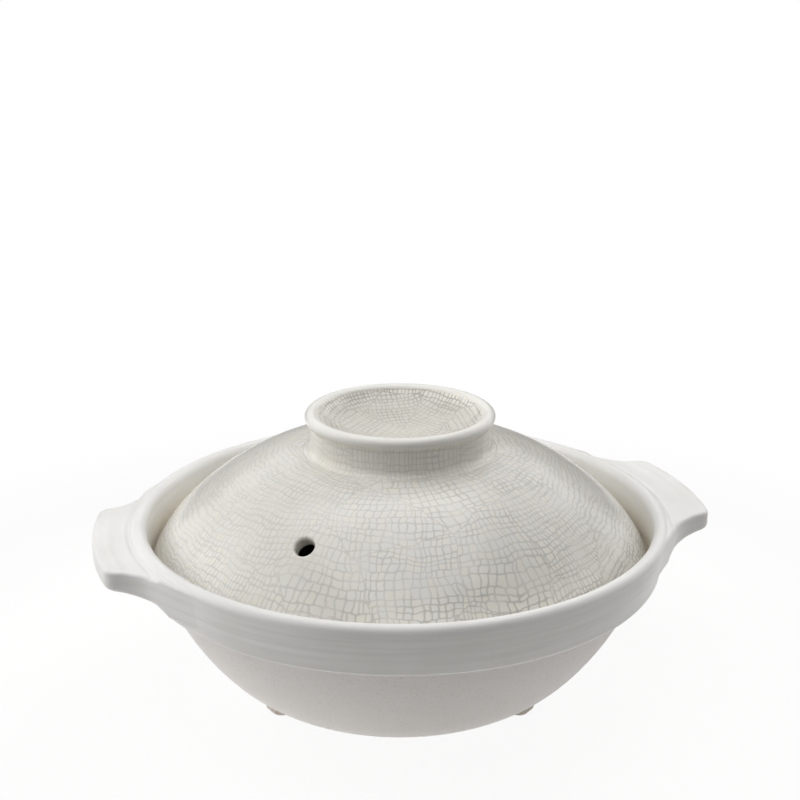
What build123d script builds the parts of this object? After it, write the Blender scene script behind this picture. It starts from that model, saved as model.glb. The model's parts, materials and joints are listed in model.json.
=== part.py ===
from build123d import *
import os
from math import asin, cos, radians, sin

# Donabe, a low Japanese clay pot with a domed lid, in millimetres with +Z up.
# The origin is on the pot's axis, on the surface that the feet stand on. The lugs lie along X.
# Outlines are drawn in the XZ half plane, as radius and height, and turned about Z.

# Pot as a whole
mouth_diameter = 255.0            # over the rounded lip
rim_height = 85.9                 # standing surface to the top of the lip
base_diameter = 149.2
base_clearance = 4.9              # standing surface to the underside of the bowl

# Lip and collar, the straight band below the lip
lip_radius = 3.4
collar_height = 20.0              # middle of the lip to the collar's underside
collar_taper = 2.8                # the collar draws in this much towards its foot
collar_edge_radius = 2.5
shoulder_inset = 9.1              # the body starts this far inside the collar's foot
shoulder_fillet = 2.0

# Body wall
body_wall = 6.0
floor_thickness = 7.0
shoulder_pull_shares = (0.12, 0.32)    # first handle of the body's curve, as shares of its run and drop
base_pull_shares = (0.44, 0.145)       # second handle, the same way, from the base edge
wall_shares = (0.18, 0.36, 0.54, 0.72)    # places along the outer curve that the inner wall follows
flat_floor_share = 0.72                # the flat floor's radius as a share of the base's

# Ledge inside the collar that carries the lid
ledge_drop = 18.0                 # middle of the lip to the ledge
ledge_edge_radius = 1.5
seam_ledge_rise = 2.0             # ledge over the collar's underside at which the seam is square

# Lid
lip_to_lid_gap = 2.5              # between the lip's inner side and the lid's edge, in plan
lid_side_clearance = 1.4          # between the lid's edge and the wall beside the ledge
seat_gap = 0.2                    # between the ledge and the lid's foot
lid_wall = 5.3
lid_rise = 51.4                   # lid's foot to its flat crown
lid_edge_height = 2.6             # the upright edge above the lid's foot
lid_edge_radius = 1.2
crown_pull_shares = (0.415, 0.025)     # first handle of the dome's curve, as shares of its run and drop
edge_pull_shares = (0.084, 0.353)      # second handle, the same way, from the lid's edge
lid_wall_shares = (0.0, 0.2, 0.4, 0.6, 0.8)    # places along the dome that the inside follows
crown_lift = 0.8                  # the inside of the crown rises this much to its middle

# Steam hole, bored square to the dome
steam_hole_diameter = 9.5
steam_hole_share = 0.51           # its place along the dome's curve, from the crown
steam_hole_azimuth = -131.6
bore_overrun = 6.0

# Knob: a thrown ring with a dished top, luted onto the crown
knob_diameter = 90.2              # over its rounded lip
knob_height = 18.6                # crown to the top of its lip
knob_lip_radius = 3.3
knob_neck_diameter = 85.0
knob_flare = 3.5                  # the neck spreads this much where it meets the crown
knob_floor = 6.0                  # clay under the middle of the dish
neck_drop = 5.6                   # middle of the knob's lip to the straight neck
lip_outer_angle = -35.0
lip_inner_angle = 160.0
dish_rim_shares = (0.09, 0.5)     # handles of the dish's curve, as shares of its run and depth
dish_floor_share = 0.56
crown_rim = 1.0                   # flat crown left outside the knob's flare

# Lugs
lug_overhang_left = 18.0          # beyond the lip
lug_overhang_right = 22.0
lug_drop = 2.6                    # top of the lip to the top of the lug
lug_tip_thickness = 9.0
lug_root_thickness = 13.0
lug_width = 77.0                  # across the two corners of the tip
lug_root_width = 132.0            # across the flared ends, inside the collar
lug_corner_radius = 7.0
lug_edge_radius = 1.8             # rounding of the upper edges
lug_under_radius = 2.8            # and of the lower edges
root_overlap = 1.0                # how far inside the collar's foot the flared ends are drawn and cut
root_turn = 18.0                  # degrees that the sides meet the collar steeper than along it
flank_pull_shares = (0.35, -0.05)      # first handle of a lug's side, as shares of its run and spread
root_pull_share = 0.5                  # second handle, as a share of the side's run
lug_root_depth = 12.0             # how far the lug is drawn inside the lip, and its tools past it

# Feet
foot_width = 16.0                 # along the base's edge
foot_proud = 1.9                  # beyond the base's edge
foot_length = 13.0                # from its outer end towards the axis
foot_corner_radius = 4.0
foot_edge_radius = 1.2
foot_cut_height = 4.0             # drawn this far above the base before it is cut
foot_azimuths = {"foot_front_left": -157.0, "foot_front_right": -51.0, "foot_back": 76.0}

# Sizes that follow from those above
mouth_radius = mouth_diameter / 2
base_radius = base_diameter / 2
lip_middle_radius = mouth_radius - lip_radius
lip_middle_height = rim_height - lip_radius
collar_low = lip_middle_height - collar_height
collar_foot_radius = mouth_radius - collar_taper
shoulder_radius = collar_foot_radius - shoulder_inset
shoulder_height = collar_low - shoulder_fillet
floor_height = base_clearance + floor_thickness
ledge_height = lip_middle_height - ledge_drop
lid_radius = mouth_radius - 2 * lip_radius - lip_to_lid_gap
ledge_bore_radius = lid_radius + lid_side_clearance
lid_foot_height = ledge_height + seat_gap
crown_height = lid_foot_height + lid_rise
knob_lip_middle = knob_diameter / 2 - knob_lip_radius
knob_lip_height = crown_height + knob_height - knob_lip_radius
knob_neck_radius = knob_neck_diameter / 2
crown_radius = knob_neck_radius + knob_flare + crown_rim
foot_middle_radius = base_radius + foot_proud - foot_length / 2


def at(radius, height):
    """A point of the XZ half plane."""
    return Vector(radius, 0, height)


def on_circle(middle_radius, middle_height, circle_radius, angle):
    """The point at an angle of a small circle in the half plane, 0 degrees outwards."""
    a = radians(angle)
    return at(middle_radius + circle_radius * cos(a), middle_height + circle_radius * sin(a))


def arc(middle_radius, middle_height, circle_radius, start, end):
    """An arc of a small circle in the half plane, from one angle to another."""
    return ThreePointArc(
        on_circle(middle_radius, middle_height, circle_radius, start),
        on_circle(middle_radius, middle_height, circle_radius, (start + end) / 2),
        on_circle(middle_radius, middle_height, circle_radius, end),
    )


def inside_of(curve, share, depth):
    """The point that lies a wall's depth inside a falling curve, at a share of its length."""
    along = curve % share
    return curve @ share + Vector(along.Z, 0, -along.X) * depth


def pulled_curve(start, end, start_shares, end_shares):
    """A Bezier curve whose handles are shares of its run in radius and of its drop in height."""
    run = end.X - start.X
    drop = end.Z - start.Z
    first = at(start.X + run * start_shares[0], start.Z + drop * start_shares[1])
    second = at(end.X - run * end_shares[0], end.Z - drop * end_shares[1])
    return Bezier(start, first, second, end)


def turned(edges):
    """The solid that a closed outline makes when it turns once about the axis."""
    return revolve(make_face(edges), Axis.Z)


# Bowl

def body_curve():
    """The outside of the body, from the shoulder down to the base's edge."""
    return pulled_curve(
        at(shoulder_radius, shoulder_height),
        at(base_radius, base_clearance),
        shoulder_pull_shares,
        base_pull_shares,
    )


def base_line():
    """The flat underside, from the base's edge to the axis."""
    return Line(at(base_radius, base_clearance), at(0, base_clearance))


def collar_outside():
    """The collar's outer edges, from the lip's outer side down to the shoulder."""
    edge_radius = collar_foot_radius - collar_edge_radius
    edge = arc(edge_radius, collar_low + collar_edge_radius, collar_edge_radius, 0, -90)
    shoulder = arc(shoulder_radius + shoulder_fillet, shoulder_height, shoulder_fillet, 90, 180)
    return [
        Line(at(mouth_radius, lip_middle_height), edge @ 0),
        edge,
        Line(edge @ 1, shoulder @ 0),
        shoulder,
    ]


def seam_inner():
    """The inner edge of the seam between bowl and collar, which goes up and down with the ledge."""
    square = inside_of(body_curve(), 0, body_wall)
    return at(square.X, square.Z + ledge_height - collar_low - seam_ledge_rise)


def bowl():
    """The thrown bowl up to its shoulder: the flat floor and the curved wall."""
    body = body_curve()
    wall_points = [seam_inner()] + [inside_of(body, share, body_wall) for share in wall_shares]
    flat_end = at(base_radius * flat_floor_share, floor_height)
    return turned(
        [
            body,
            base_line(),
            Line(at(0, base_clearance), at(0, floor_height)),
            Line(at(0, floor_height), flat_end),
            Spline([flat_end] + wall_points[::-1], tangents=[at(1, 0), -(body % 0)]),
            Line(wall_points[0], body @ 0),
        ]
    )


def collar():
    """The band above the shoulder, with its rolled lip and the ledge that carries the lid."""
    shoulder_edge = body_curve() @ 0
    top = seam_inner()
    corner = arc(top.X + ledge_edge_radius, ledge_height - ledge_edge_radius, ledge_edge_radius, 180, 90)
    ledge_end = at(ledge_bore_radius, ledge_height)
    lip = arc(lip_middle_radius, lip_middle_height, lip_radius, 180, 0)
    inside = [
        Line(shoulder_edge, top),
        Line(top, corner @ 0),
        corner,
        Line(corner @ 1, ledge_end),
        Line(ledge_end, lip @ 0),
        lip,
    ]
    return turned(collar_outside() + inside)


def pot_envelope():
    """Bowl and collar without their hollow, which lugs and feet are cut to."""
    lip = arc(lip_middle_radius, lip_middle_height, lip_radius, 90, 0)
    top = Line(at(0, rim_height), at(lip_middle_radius, rim_height))
    axis = Line(at(0, base_clearance), at(0, rim_height))
    return turned(collar_outside() + [body_curve(), base_line(), axis, top, lip])


# Lugs

def mirrored(point):
    """The same point on the other side of the XZ plane."""
    return Vector(point.X, -point.Y)


def lug_plan(reach):
    """A lug's plan: a tip that follows the rim, rounded corners and sides that flare into the rim."""
    half_width = lug_width / 2
    root_radius = collar_foot_radius - root_overlap
    tip_angle = asin(half_width / reach)
    root_angle = asin(lug_root_width / 2 / root_radius)
    corner = Vector(reach * cos(tip_angle), half_width)
    root = Vector(root_radius * cos(root_angle), root_radius * sin(root_angle))
    run = corner.X - root.X
    spread = root.Y - corner.Y
    side_start = corner + Vector(-run * flank_pull_shares[0], spread * flank_pull_shares[1])
    heading = root_angle + radians(root_turn)
    side_end = root + Vector(sin(heading), -cos(heading)) * run * root_pull_share
    inner = Vector(root.X - lug_root_depth, 0)
    plan = make_face(
        [
            ThreePointArc(mirrored(corner), Vector(reach, 0), corner),
            Bezier(corner, side_start, side_end, root),
            Line(root, inner),
            Line(inner, mirrored(root)),
            Bezier(mirrored(root), mirrored(side_end), mirrored(side_start), mirrored(corner)),
        ]
    )
    tip_corners = plan.vertices().sort_by(Axis.X)[-2:]
    return fillet(tip_corners, lug_corner_radius)


def lug_undercut(overhang):
    """The ring that is cut from under a lug, so that its underside rises towards the tip."""
    top = rim_height - lug_drop
    rise = (lug_root_thickness - lug_tip_thickness) / overhang
    past = mouth_radius + overhang + lug_root_depth
    low = top - lug_root_thickness - lug_root_depth
    slope_start = at(mouth_radius, top - lug_root_thickness)
    slope_end = at(past, top - lug_tip_thickness + rise * lug_root_depth)
    return turned(
        [
            Line(slope_start, slope_end),
            Line(slope_end, at(past, low)),
            Line(at(past, low), at(mouth_radius, low)),
            Line(at(mouth_radius, low), slope_start),
        ]
    )


def lug(overhang):
    """A lug on the +X side, flat on top and rounded at its edges, cut to the bowl."""
    plan = Pos(0, 0, rim_height - lug_drop) * lug_plan(mouth_radius + overhang)
    blank = extrude(plan, amount=-lug_root_thickness)
    top_edges = blank.faces().sort_by(Axis.Z)[-1].edges().sort_by(Axis.X)[2:]
    shape = fillet(top_edges, lug_edge_radius) - lug_undercut(overhang)
    underside = shape.faces().filter_by(GeomType.CONE)[0]
    low_edges = underside.edges().filter_by(GeomType.CIRCLE, reverse=True)
    return fillet(low_edges, lug_under_radius) - pot_envelope()


# Feet

def foot(azimuth):
    """A clay foot luted under the base's edge, cut to the bowl."""
    pad = RectangleRounded(foot_length, foot_width, foot_corner_radius)
    blank = extrude(pad, amount=base_clearance + foot_cut_height)
    low_edges = blank.edges().group_by(Axis.Z)[0]
    blank = fillet(low_edges, foot_edge_radius)
    blank = Pos(foot_middle_radius, 0, 0) * blank
    return Rot(0, 0, azimuth) * blank - pot_envelope()


# Lid

def dome_curve():
    """The outside of the dome, from the crown down to the lid's upright edge."""
    return pulled_curve(
        at(crown_radius, crown_height),
        at(lid_radius, lid_foot_height + lid_edge_height),
        crown_pull_shares,
        edge_pull_shares,
    )


def steam_hole(dome):
    """The drill that bores the steam hole, square to the dome."""
    middle = dome @ steam_hole_share
    along = dome % steam_hole_share
    outwards = Vector(-along.Z, 0, along.X)
    mouth = Plane(origin=middle + outwards * bore_overrun, z_dir=outwards)
    drill = extrude(mouth * Circle(steam_hole_diameter / 2), amount=-lid_wall - 2 * bore_overrun)
    return Rot(0, 0, steam_hole_azimuth) * drill


def lid():
    """The thrown dome, with its flat foot and the steam hole."""
    dome = dome_curve()
    wall_points = [inside_of(dome, share, lid_wall) for share in lid_wall_shares]
    middle = at(0, crown_height - lid_wall + crown_lift)
    last = inside_of(dome, 1, lid_wall)
    foot_inner = at(last.X, lid_foot_height)
    edge = arc(lid_radius - lid_edge_radius, lid_foot_height + lid_edge_radius, lid_edge_radius, 0, -90)
    inside = Spline([middle] + wall_points + [foot_inner], tangents=[at(1, 0), dome % 1])
    shell = turned(
        [
            Line(at(0, crown_height), dome @ 0),
            dome,
            Line(dome @ 1, edge @ 0),
            edge,
            Line(edge @ 1, foot_inner),
            inside,
            Line(middle, at(0, crown_height)),
        ]
    )
    return shell - steam_hole(dome)


def lid_knob():
    """The ring on the crown: a rolled lip on a straight neck, with a dished top."""
    lip = arc(knob_lip_middle, knob_lip_height, knob_lip_radius, lip_outer_angle, lip_inner_angle)
    flare = arc(knob_neck_radius + knob_flare, crown_height + knob_flare, knob_flare, -90, -180)
    neck_top = at(knob_neck_radius, knob_lip_height - neck_drop)
    inner = lip @ 1
    floor = at(0, crown_height + knob_floor)
    depth = inner.Z - floor.Z
    dish = Bezier(
        inner,
        at(inner.X * (1 - dish_rim_shares[0]), inner.Z - depth * dish_rim_shares[1]),
        at(inner.X * dish_floor_share, floor.Z),
        floor,
    )
    return turned(
        [
            Line(at(0, crown_height), flare @ 0),
            flare,
            Line(flare @ 1, neck_top),
            Line(neck_top, lip @ 0),
            lip,
            dish,
            Line(floor, at(0, crown_height)),
        ]
    )


pieces = {
    "bowl": bowl(),
    "collar": collar(),
    "handle_left": Rot(0, 0, 180) * lug(lug_overhang_left),
    "handle_right": lug(lug_overhang_right),
    "lid": lid(),
    "lid_knob": lid_knob(),
}
for name, azimuth in foot_azimuths.items():
    pieces[name] = foot(azimuth)

os.makedirs("parts", exist_ok=True)
for name, piece in pieces.items():
    export_step(piece, f"parts/{name}.step")
    box = piece.bounding_box()
    print(name, [round(v, 2) for v in (*box.min, *box.max)], "volume", round(piece.volume))
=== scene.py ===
"""Donabe, a low Japanese clay pot with a domed lid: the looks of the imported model.

Sizes are in millimetres and become metres where a mesh is made. The pot's axis is Z, the lugs lie
along X and the feet stand at height zero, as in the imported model. Outlines are drawn in the half
plane beside the axis, as radius and height, and turned on a wheel made of geometry nodes.
"""

import json
import logging
import math
from collections.abc import Callable
from dataclasses import dataclass, field
from enum import Enum
from typing import Any

import bmesh
import bpy
import numpy as np
from mathutils import Matrix, Vector


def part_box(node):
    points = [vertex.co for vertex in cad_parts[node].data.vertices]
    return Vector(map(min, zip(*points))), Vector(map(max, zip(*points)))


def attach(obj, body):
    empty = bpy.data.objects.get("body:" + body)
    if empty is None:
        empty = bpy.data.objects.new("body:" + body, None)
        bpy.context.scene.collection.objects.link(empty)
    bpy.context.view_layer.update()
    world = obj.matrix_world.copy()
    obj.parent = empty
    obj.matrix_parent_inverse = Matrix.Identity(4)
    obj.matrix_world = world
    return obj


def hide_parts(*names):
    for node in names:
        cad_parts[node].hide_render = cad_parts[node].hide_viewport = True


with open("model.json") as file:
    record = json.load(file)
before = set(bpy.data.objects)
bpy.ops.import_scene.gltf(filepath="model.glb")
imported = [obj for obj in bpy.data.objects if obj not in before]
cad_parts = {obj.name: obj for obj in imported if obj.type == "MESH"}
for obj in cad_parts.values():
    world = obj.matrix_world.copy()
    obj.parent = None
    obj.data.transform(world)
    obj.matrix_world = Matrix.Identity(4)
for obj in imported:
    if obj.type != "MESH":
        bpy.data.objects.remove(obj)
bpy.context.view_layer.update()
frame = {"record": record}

log = logging.getLogger("donabe")

Socket = bpy.types.NodeSocket
Tree = bpy.types.NodeTree
Sockets = bpy.types.NodeOutputs
Node = bpy.types.Node
Colour = tuple[float, float, float, float]
Pair = tuple[float, float]
Point = tuple[float, float]
Place = tuple[float, float, float]
Triple = tuple[float, float, float]
Curve = Callable[[float], Point | np.ndarray]

MM = 0.001
FLOW = "glaze_flow"
WHITE = (1.0, 1.0, 1.0, 1.0)
BLACK = (0.0, 0.0, 0.0, 1.0)
NOISE_MIDDLE = (0.5, 0.5, 0.5)
POT_MIDDLE = Vector((0.0, 0.0, 0.07))
# The side of the pot that faces the camera, where the crackle is coarsest.
FRONT = (-0.242, -0.970, 0.0)
# The sRGB curve: a straight piece up to the knee and a power above it.
FULL_BYTE = 255
SRGB_KNEE = 0.04045
SRGB_SLOPE = 12.92
SRGB_OFFSET = 0.055
SRGB_POWER = 2.4
# The potter's unevenness: how fast it changes with height, the scales of its slow and its patchy
# noise, how far throwing lines wander, in radians, and how near the axis they die out.
UNEVEN_PER_METRE = 9.0
SLOW_SCALE = 0.9
PATCHY_SCALE = 4.0
LINE_WANDER = 5.0
QUIET_RADIUS = 12 * MM
# Points closer than this are one point.
SAME_POINT = 0.005 * MM
# The least square of a length that anything is divided by.
TINY = 1e-12
# How many vertices are compared with an outline at a time, to save memory.
BATCH = 4000


class Body(Enum):
    """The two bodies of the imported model."""

    POT = "pot"
    LID = "lid"


class Side(Enum):
    """The side that a lug stands on, as the turn of its plan about the axis."""

    RIGHT = 0.0
    LEFT = math.pi


class Kind(Enum):
    """The kinds of node that the trees are made of."""

    INPUTS = "NodeGroupInput"
    OUTPUTS = "NodeGroupOutput"
    MATH = "ShaderNodeMath"
    VECTOR = "ShaderNodeVectorMath"
    RANGE = "ShaderNodeMapRange"
    MIX = "ShaderNodeMix"
    NOISE = "ShaderNodeTexNoise"
    CELLS = "ShaderNodeTexVoronoi"
    PARTS = "ShaderNodeSeparateXYZ"
    COLOUR_PARTS = "ShaderNodeSeparateColor"
    JOINED = "ShaderNodeCombineXYZ"
    ROTATE = "ShaderNodeVectorRotate"
    PLACE = "ShaderNodeTexCoord"
    ATTRIBUTE = "ShaderNodeAttribute"
    BUMP = "ShaderNodeBump"
    GLAZE = "ShaderNodeBsdfPrincipled"
    PAPER = "ShaderNodeBsdfDiffuse"
    GLOW = "ShaderNodeEmission"
    AIR = "ShaderNodeBackground"
    RAYS = "ShaderNodeLightPath"
    MIX_SHADERS = "ShaderNodeMixShader"
    ADD_SHADERS = "ShaderNodeAddShader"
    SURFACE = "ShaderNodeOutputMaterial"
    WORLD = "ShaderNodeOutputWorld"
    COUNT = "GeometryNodeAttributeDomainSize"
    GRID = "GeometryNodeMeshGrid"
    POSITION = "GeometryNodeInputPosition"
    STORED = "GeometryNodeInputNamedAttribute"
    SAMPLE = "GeometryNodeSampleIndex"
    SET_POSITION = "GeometryNodeSetPosition"
    MERGE = "GeometryNodeMergeByDistance"
    SMOOTH = "GeometryNodeSetShadeSmooth"
    OBJECT = "GeometryNodeObjectInfo"
    POINTS = "GeometryNodeMeshToPoints"
    INSTANCES = "GeometryNodeInstanceOnPoints"
    REALIZE = "GeometryNodeRealizeInstances"
    MATERIAL = "GeometryNodeSetMaterial"


# Nodes and colours

def out(node: Node, name: str | None = None) -> Socket:
    """Finds a node's output by its name, or its first output in use."""
    return next(s for s in node.outputs if s.enabled and name in (None, s.name))


def add(tree: Tree, kind: Kind, inputs: tuple | dict = (), **settings: Any) -> Node:
    """Adds a node with its settings and links.

    Args:
        tree: The node tree that gets the node.
        kind: The node's kind.
        inputs: What fills its inputs in use, in their order or by name: values, sockets, or nodes,
            which stand for their first output.
        **settings: The node's own properties.

    Returns:
        The new node.
    """
    node = tree.nodes.new(kind.value)
    for name, value in settings.items():
        setattr(node, name, value)
    sockets = [s for s in node.inputs if s.enabled]
    named = inputs if isinstance(inputs, dict) else dict(enumerate(inputs))
    for key, value in named.items():
        socket = sockets[key] if isinstance(key, int) else next(s for s in sockets if s.name == key)
        if isinstance(value, Node):
            value = out(value)
        if isinstance(value, Socket):
            tree.links.new(value, socket)
        else:
            socket.default_value = value
    return node


def linear(colour: str) -> Colour:
    """Turns an sRGB hex colour into the linear one that Blender works with.

    Args:
        colour: The colour, a hash sign and six digits.

    Returns:
        Red, green, blue and full opacity.
    """
    parts = [int(colour[i:i + 2], 16) / FULL_BYTE for i in (1, 3, 5)]
    shares = [
        c / SRGB_SLOPE if c <= SRGB_KNEE else ((c + SRGB_OFFSET) / (1 + SRGB_OFFSET)) ** SRGB_POWER
        for c in parts
    ]
    return (*shares, 1.0)


# Outlines

@dataclass
class Outline:
    """An outline beside the axis, sampled evenly, with how strongly throwing lines mark it.

    Attributes:
        pitch: Distance between its points.
        arc_steps: The fewest steps that an arc has.
        points: Radius and height of each point.
        lines: How strong the throwing lines are at each point, from 0 to 1.
        marks: Length along the outline at each named place.
    """

    pitch: float = 0.7
    arc_steps: int = 6
    points: list[Point] = field(default_factory=list)
    lines: list[float] = field(default_factory=list)
    marks: dict[str, float] = field(default_factory=dict)

    def start(self, radius: float, height: float) -> None:
        """Puts down the first point."""
        self.points.append((radius, height))
        self.lines.append(0.0)

    def follow(self, curve: Curve, rough_length: float, lines: float, least: int = 1) -> None:
        """Adds points along a curve.

        Args:
            curve: A function from 0 to 1 that gives radius and height.
            rough_length: The curve's length, near enough to choose the number of points.
            lines: Strength of the throwing lines along it.
            least: The fewest steps it may have.
        """
        steps = max(least, round(rough_length / self.pitch))
        for i in range(1, steps + 1):
            self.points.append(tuple(curve(i / steps)))
            self.lines.append(lines)

    def line(self, radius: float, height: float, lines: float = 0.0) -> None:
        """Goes straight to a point."""
        a, b = np.array(self.points[-1]), np.array((radius, height))
        self.follow(lambda t: a + (b - a) * t, float(np.linalg.norm(b - a)), lines)

    def arc(self, middle: Point, radius: float, start: float, end: float, lines: float = 0.0) -> None:
        """Goes round part of a circle.

        Args:
            middle: The circle's middle.
            radius: Its radius.
            start: Where the arc starts, in degrees, 0 outwards.
            end: Where it ends, the same way.
            lines: Strength of the throwing lines along it.
        """
        def curve(t: float) -> Point:
            """Gives the arc's point at a parameter from 0 to 1."""
            angle = math.radians(start + (end - start) * t)
            return middle[0] + radius * math.cos(angle), middle[1] + radius * math.sin(angle)

        length = math.radians(abs(end - start)) * radius
        self.follow(curve, length, lines, least=self.arc_steps)

    def bezier(self, first: Point, second: Point, end: Point, lines: float = 0.0) -> None:
        """Goes along a Bezier curve from the last point.

        Args:
            first: The curve's first handle.
            second: Its second handle.
            end: Its end.
            lines: Strength of the throwing lines along it.
        """
        curve = [np.array(point, float) for point in (self.points[-1], first, second, end)]
        length = sum(float(np.linalg.norm(b - a)) for a, b in zip(curve, curve[1:]))
        self.follow(lambda t: bezier_point(curve, t), length, lines)

    def mark(self, name: str) -> None:
        """Names the place that the outline has reached."""
        self.marks[name] = float(self.lengths()[-1])

    def lengths(self) -> np.ndarray:
        """Gives the length along the outline at each point."""
        steps = np.linalg.norm(np.diff(np.array(self.points), axis=0), axis=1)
        return np.concatenate([[0.0], np.cumsum(steps)])


def bezier_point(curve: list[np.ndarray], t: float) -> np.ndarray:
    """Finds a point of a cubic Bezier curve.

    Args:
        curve: The curve's two ends, with its handles between them.
        t: The curve's parameter, from 0 to 1.

    Returns:
        The point.
    """
    s = 1 - t
    start, first, second, end = curve
    return start * s ** 3 + 3 * first * s ** 2 * t + 3 * second * s * t ** 2 + end * t ** 3


def pulled_handles(
    start: Point, end: Point, start_shares: Pair, end_shares: Pair
) -> tuple[Point, Point]:
    """Works out the handles of a curve from shares of its run in radius and its drop in height.

    Args:
        start: The curve's first point.
        end: Its last point.
        start_shares: The first handle, from the start.
        end_shares: The second handle, back from the end.

    Returns:
        The two handles.
    """
    run, drop = end[0] - start[0], end[1] - start[1]
    first = (start[0] + run * start_shares[0], start[1] + drop * start_shares[1])
    second = (end[0] - run * end_shares[0], end[1] - drop * end_shares[1])
    return first, second


def inset(curve: list[np.ndarray], share: float, depth: float) -> np.ndarray:
    """Finds the place at a depth inside a falling Bezier curve.

    Args:
        curve: The curve's two ends, with its handles between them.
        share: Where along it, from 0 to 1.
        depth: How deep inside.

    Returns:
        The place's radius and height.
    """
    step = 0.001
    a, b = bezier_point(curve, max(0.0, share - step)), bezier_point(curve, min(1.0, share + step))
    along = (b - a) / np.linalg.norm(b - a)
    return bezier_point(curve, share) + np.array([along[1], -along[0]]) * depth


# The wheel

@dataclass(frozen=True)
class Throwing:
    """How a piece was thrown.

    Attributes:
        segments: Faces round the piece.
        wobble_share: How much of its radius the piece is out of round, at most.
        line_height: Depth of the lines that the fingers leave, in millimetres.
        line_spacing: Distance between the lines, in millimetres.
        seed: Start of the random numbers.
    """

    segments: int
    wobble_share: float
    line_height: float
    line_spacing: float
    seed: int


def throwing_wheel() -> Tree:
    """Builds the tree that turns an outline once about Z, with a potter's unevenness.

    The outline is a row of points that carry their inward normal, their length along the outline
    and the strength of the throwing lines. A grid is bent into the turned surface, row by row.

    Returns:
        The geometry node tree.
    """
    tree = bpy.data.node_groups.new("throwing wheel", "GeometryNodeTree")
    sockets = {
        "Outline": "NodeSocketGeometry",
        "Segments": "NodeSocketInt",
        "Wobble Share": "NodeSocketFloat",
        "Line Height": "NodeSocketFloat",
        "Line Spacing": "NodeSocketFloat",
        "Seed": "NodeSocketInt",
        "Glaze": "NodeSocketMaterial",
    }
    for name, kind in sockets.items():
        tree.interface.new_socket(name, in_out="INPUT", socket_type=kind)
    tree.interface.new_socket("Turned", in_out="OUTPUT", socket_type="NodeSocketGeometry")
    given = add(tree, Kind.INPUTS).outputs

    rows = out(add(tree, Kind.COUNT, {"Geometry": given["Outline"]}), "Point Count")
    columns = add(tree, Kind.MATH, (given["Segments"], 1.0), operation="ADD")
    grid = add(tree, Kind.GRID, (1.0, 1.0, rows, columns))
    place = add(tree, Kind.PARTS, (add(tree, Kind.POSITION),)).outputs
    last_row = add(tree, Kind.MATH, (rows, 1.0), operation="SUBTRACT")
    down = add(tree, Kind.MATH, (place["X"], 0.5), operation="ADD")
    row = add(tree, Kind.MATH, (down, last_row), operation="MULTIPLY")
    row = add(tree, Kind.MATH, (row,), operation="ROUND")
    angle = add(tree, Kind.MATH, (place["Y"], math.tau, math.pi), operation="MULTIPLY_ADD")

    fields = [(add(tree, Kind.POSITION), "FLOAT_VECTOR")]
    for name, kind in (("inward", "FLOAT_VECTOR"), ("length", "FLOAT"), ("lines", "FLOAT")):
        fields.append((add(tree, Kind.STORED, (name,), data_type=kind), kind))
    sampled = []
    for value, kind in fields:
        inputs = {"Geometry": given["Outline"], "Value": value, "Index": row}
        sampled.append(add(tree, Kind.SAMPLE, inputs, data_type=kind))
    point, inward, length, strength = sampled

    cosine = add(tree, Kind.MATH, (angle,), operation="COSINE")
    sine = add(tree, Kind.MATH, (angle,), operation="SINE")
    flat = add(tree, Kind.PARTS, (point,)).outputs
    rise = add(tree, Kind.MATH, (flat["Z"], UNEVEN_PER_METRE), operation="MULTIPLY")
    around = add(tree, Kind.JOINED, (cosine, sine, rise))
    uneven = add(tree, Kind.NOISE, (around, given["Seed"], SLOW_SCALE, 1.0), noise_dimensions="4D")
    patchy = add(tree, Kind.NOISE, (around, given["Seed"], PATCHY_SCALE, 2.0), noise_dimensions="4D")

    turns = add(tree, Kind.MATH, (length, given["Line Spacing"]), operation="DIVIDE")
    phase = add(tree, Kind.MATH, (turns, math.tau, angle), operation="MULTIPLY_ADD")
    phase = add(tree, Kind.MATH, (patchy, LINE_WANDER, phase), operation="MULTIPLY_ADD")
    wave = add(tree, Kind.MATH, (phase,), operation="SINE")
    depth = add(tree, Kind.MATH, (wave, 0.5, 0.5), operation="MULTIPLY_ADD")
    near_axis = (flat["X"], 0.0, QUIET_RADIUS, 0.0, 1.0)
    near_axis = add(tree, Kind.RANGE, near_axis, interpolation_type="SMOOTHSTEP")
    for share in (given["Line Height"], strength, patchy, near_axis):
        depth = add(tree, Kind.MATH, (depth, share), operation="MULTIPLY")
    press = add(tree, Kind.VECTOR, (inward, depth), operation="SCALE")
    pressed = add(tree, Kind.PARTS, (add(tree, Kind.VECTOR, (point, press), operation="ADD"),)).outputs

    wobble = add(tree, Kind.MATH, (uneven, given["Wobble Share"]), operation="MULTIPLY")
    kept = add(tree, Kind.MATH, (1.0, wobble), operation="SUBTRACT")
    radius = add(tree, Kind.MATH, (pressed["X"], kept), operation="MULTIPLY")
    x = add(tree, Kind.MATH, (radius, cosine), operation="MULTIPLY")
    y = add(tree, Kind.MATH, (radius, sine), operation="MULTIPLY")
    bent = add(tree, Kind.JOINED, (x, y, pressed["Z"]))
    turned = add(tree, Kind.SET_POSITION, {"Geometry": grid, "Position": bent})
    closed = add(tree, Kind.MERGE, {"Geometry": turned, "Distance": SAME_POINT})
    smooth = add(tree, Kind.SMOOTH, {"Geometry": closed, "Shade Smooth": True})
    real = add(tree, Kind.REALIZE, {"Geometry": smooth})
    glazed = add(tree, Kind.MATERIAL, {"Geometry": real, "Material": given["Glaze"]})
    add(tree, Kind.OUTPUTS, (glazed,))
    return tree


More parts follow.
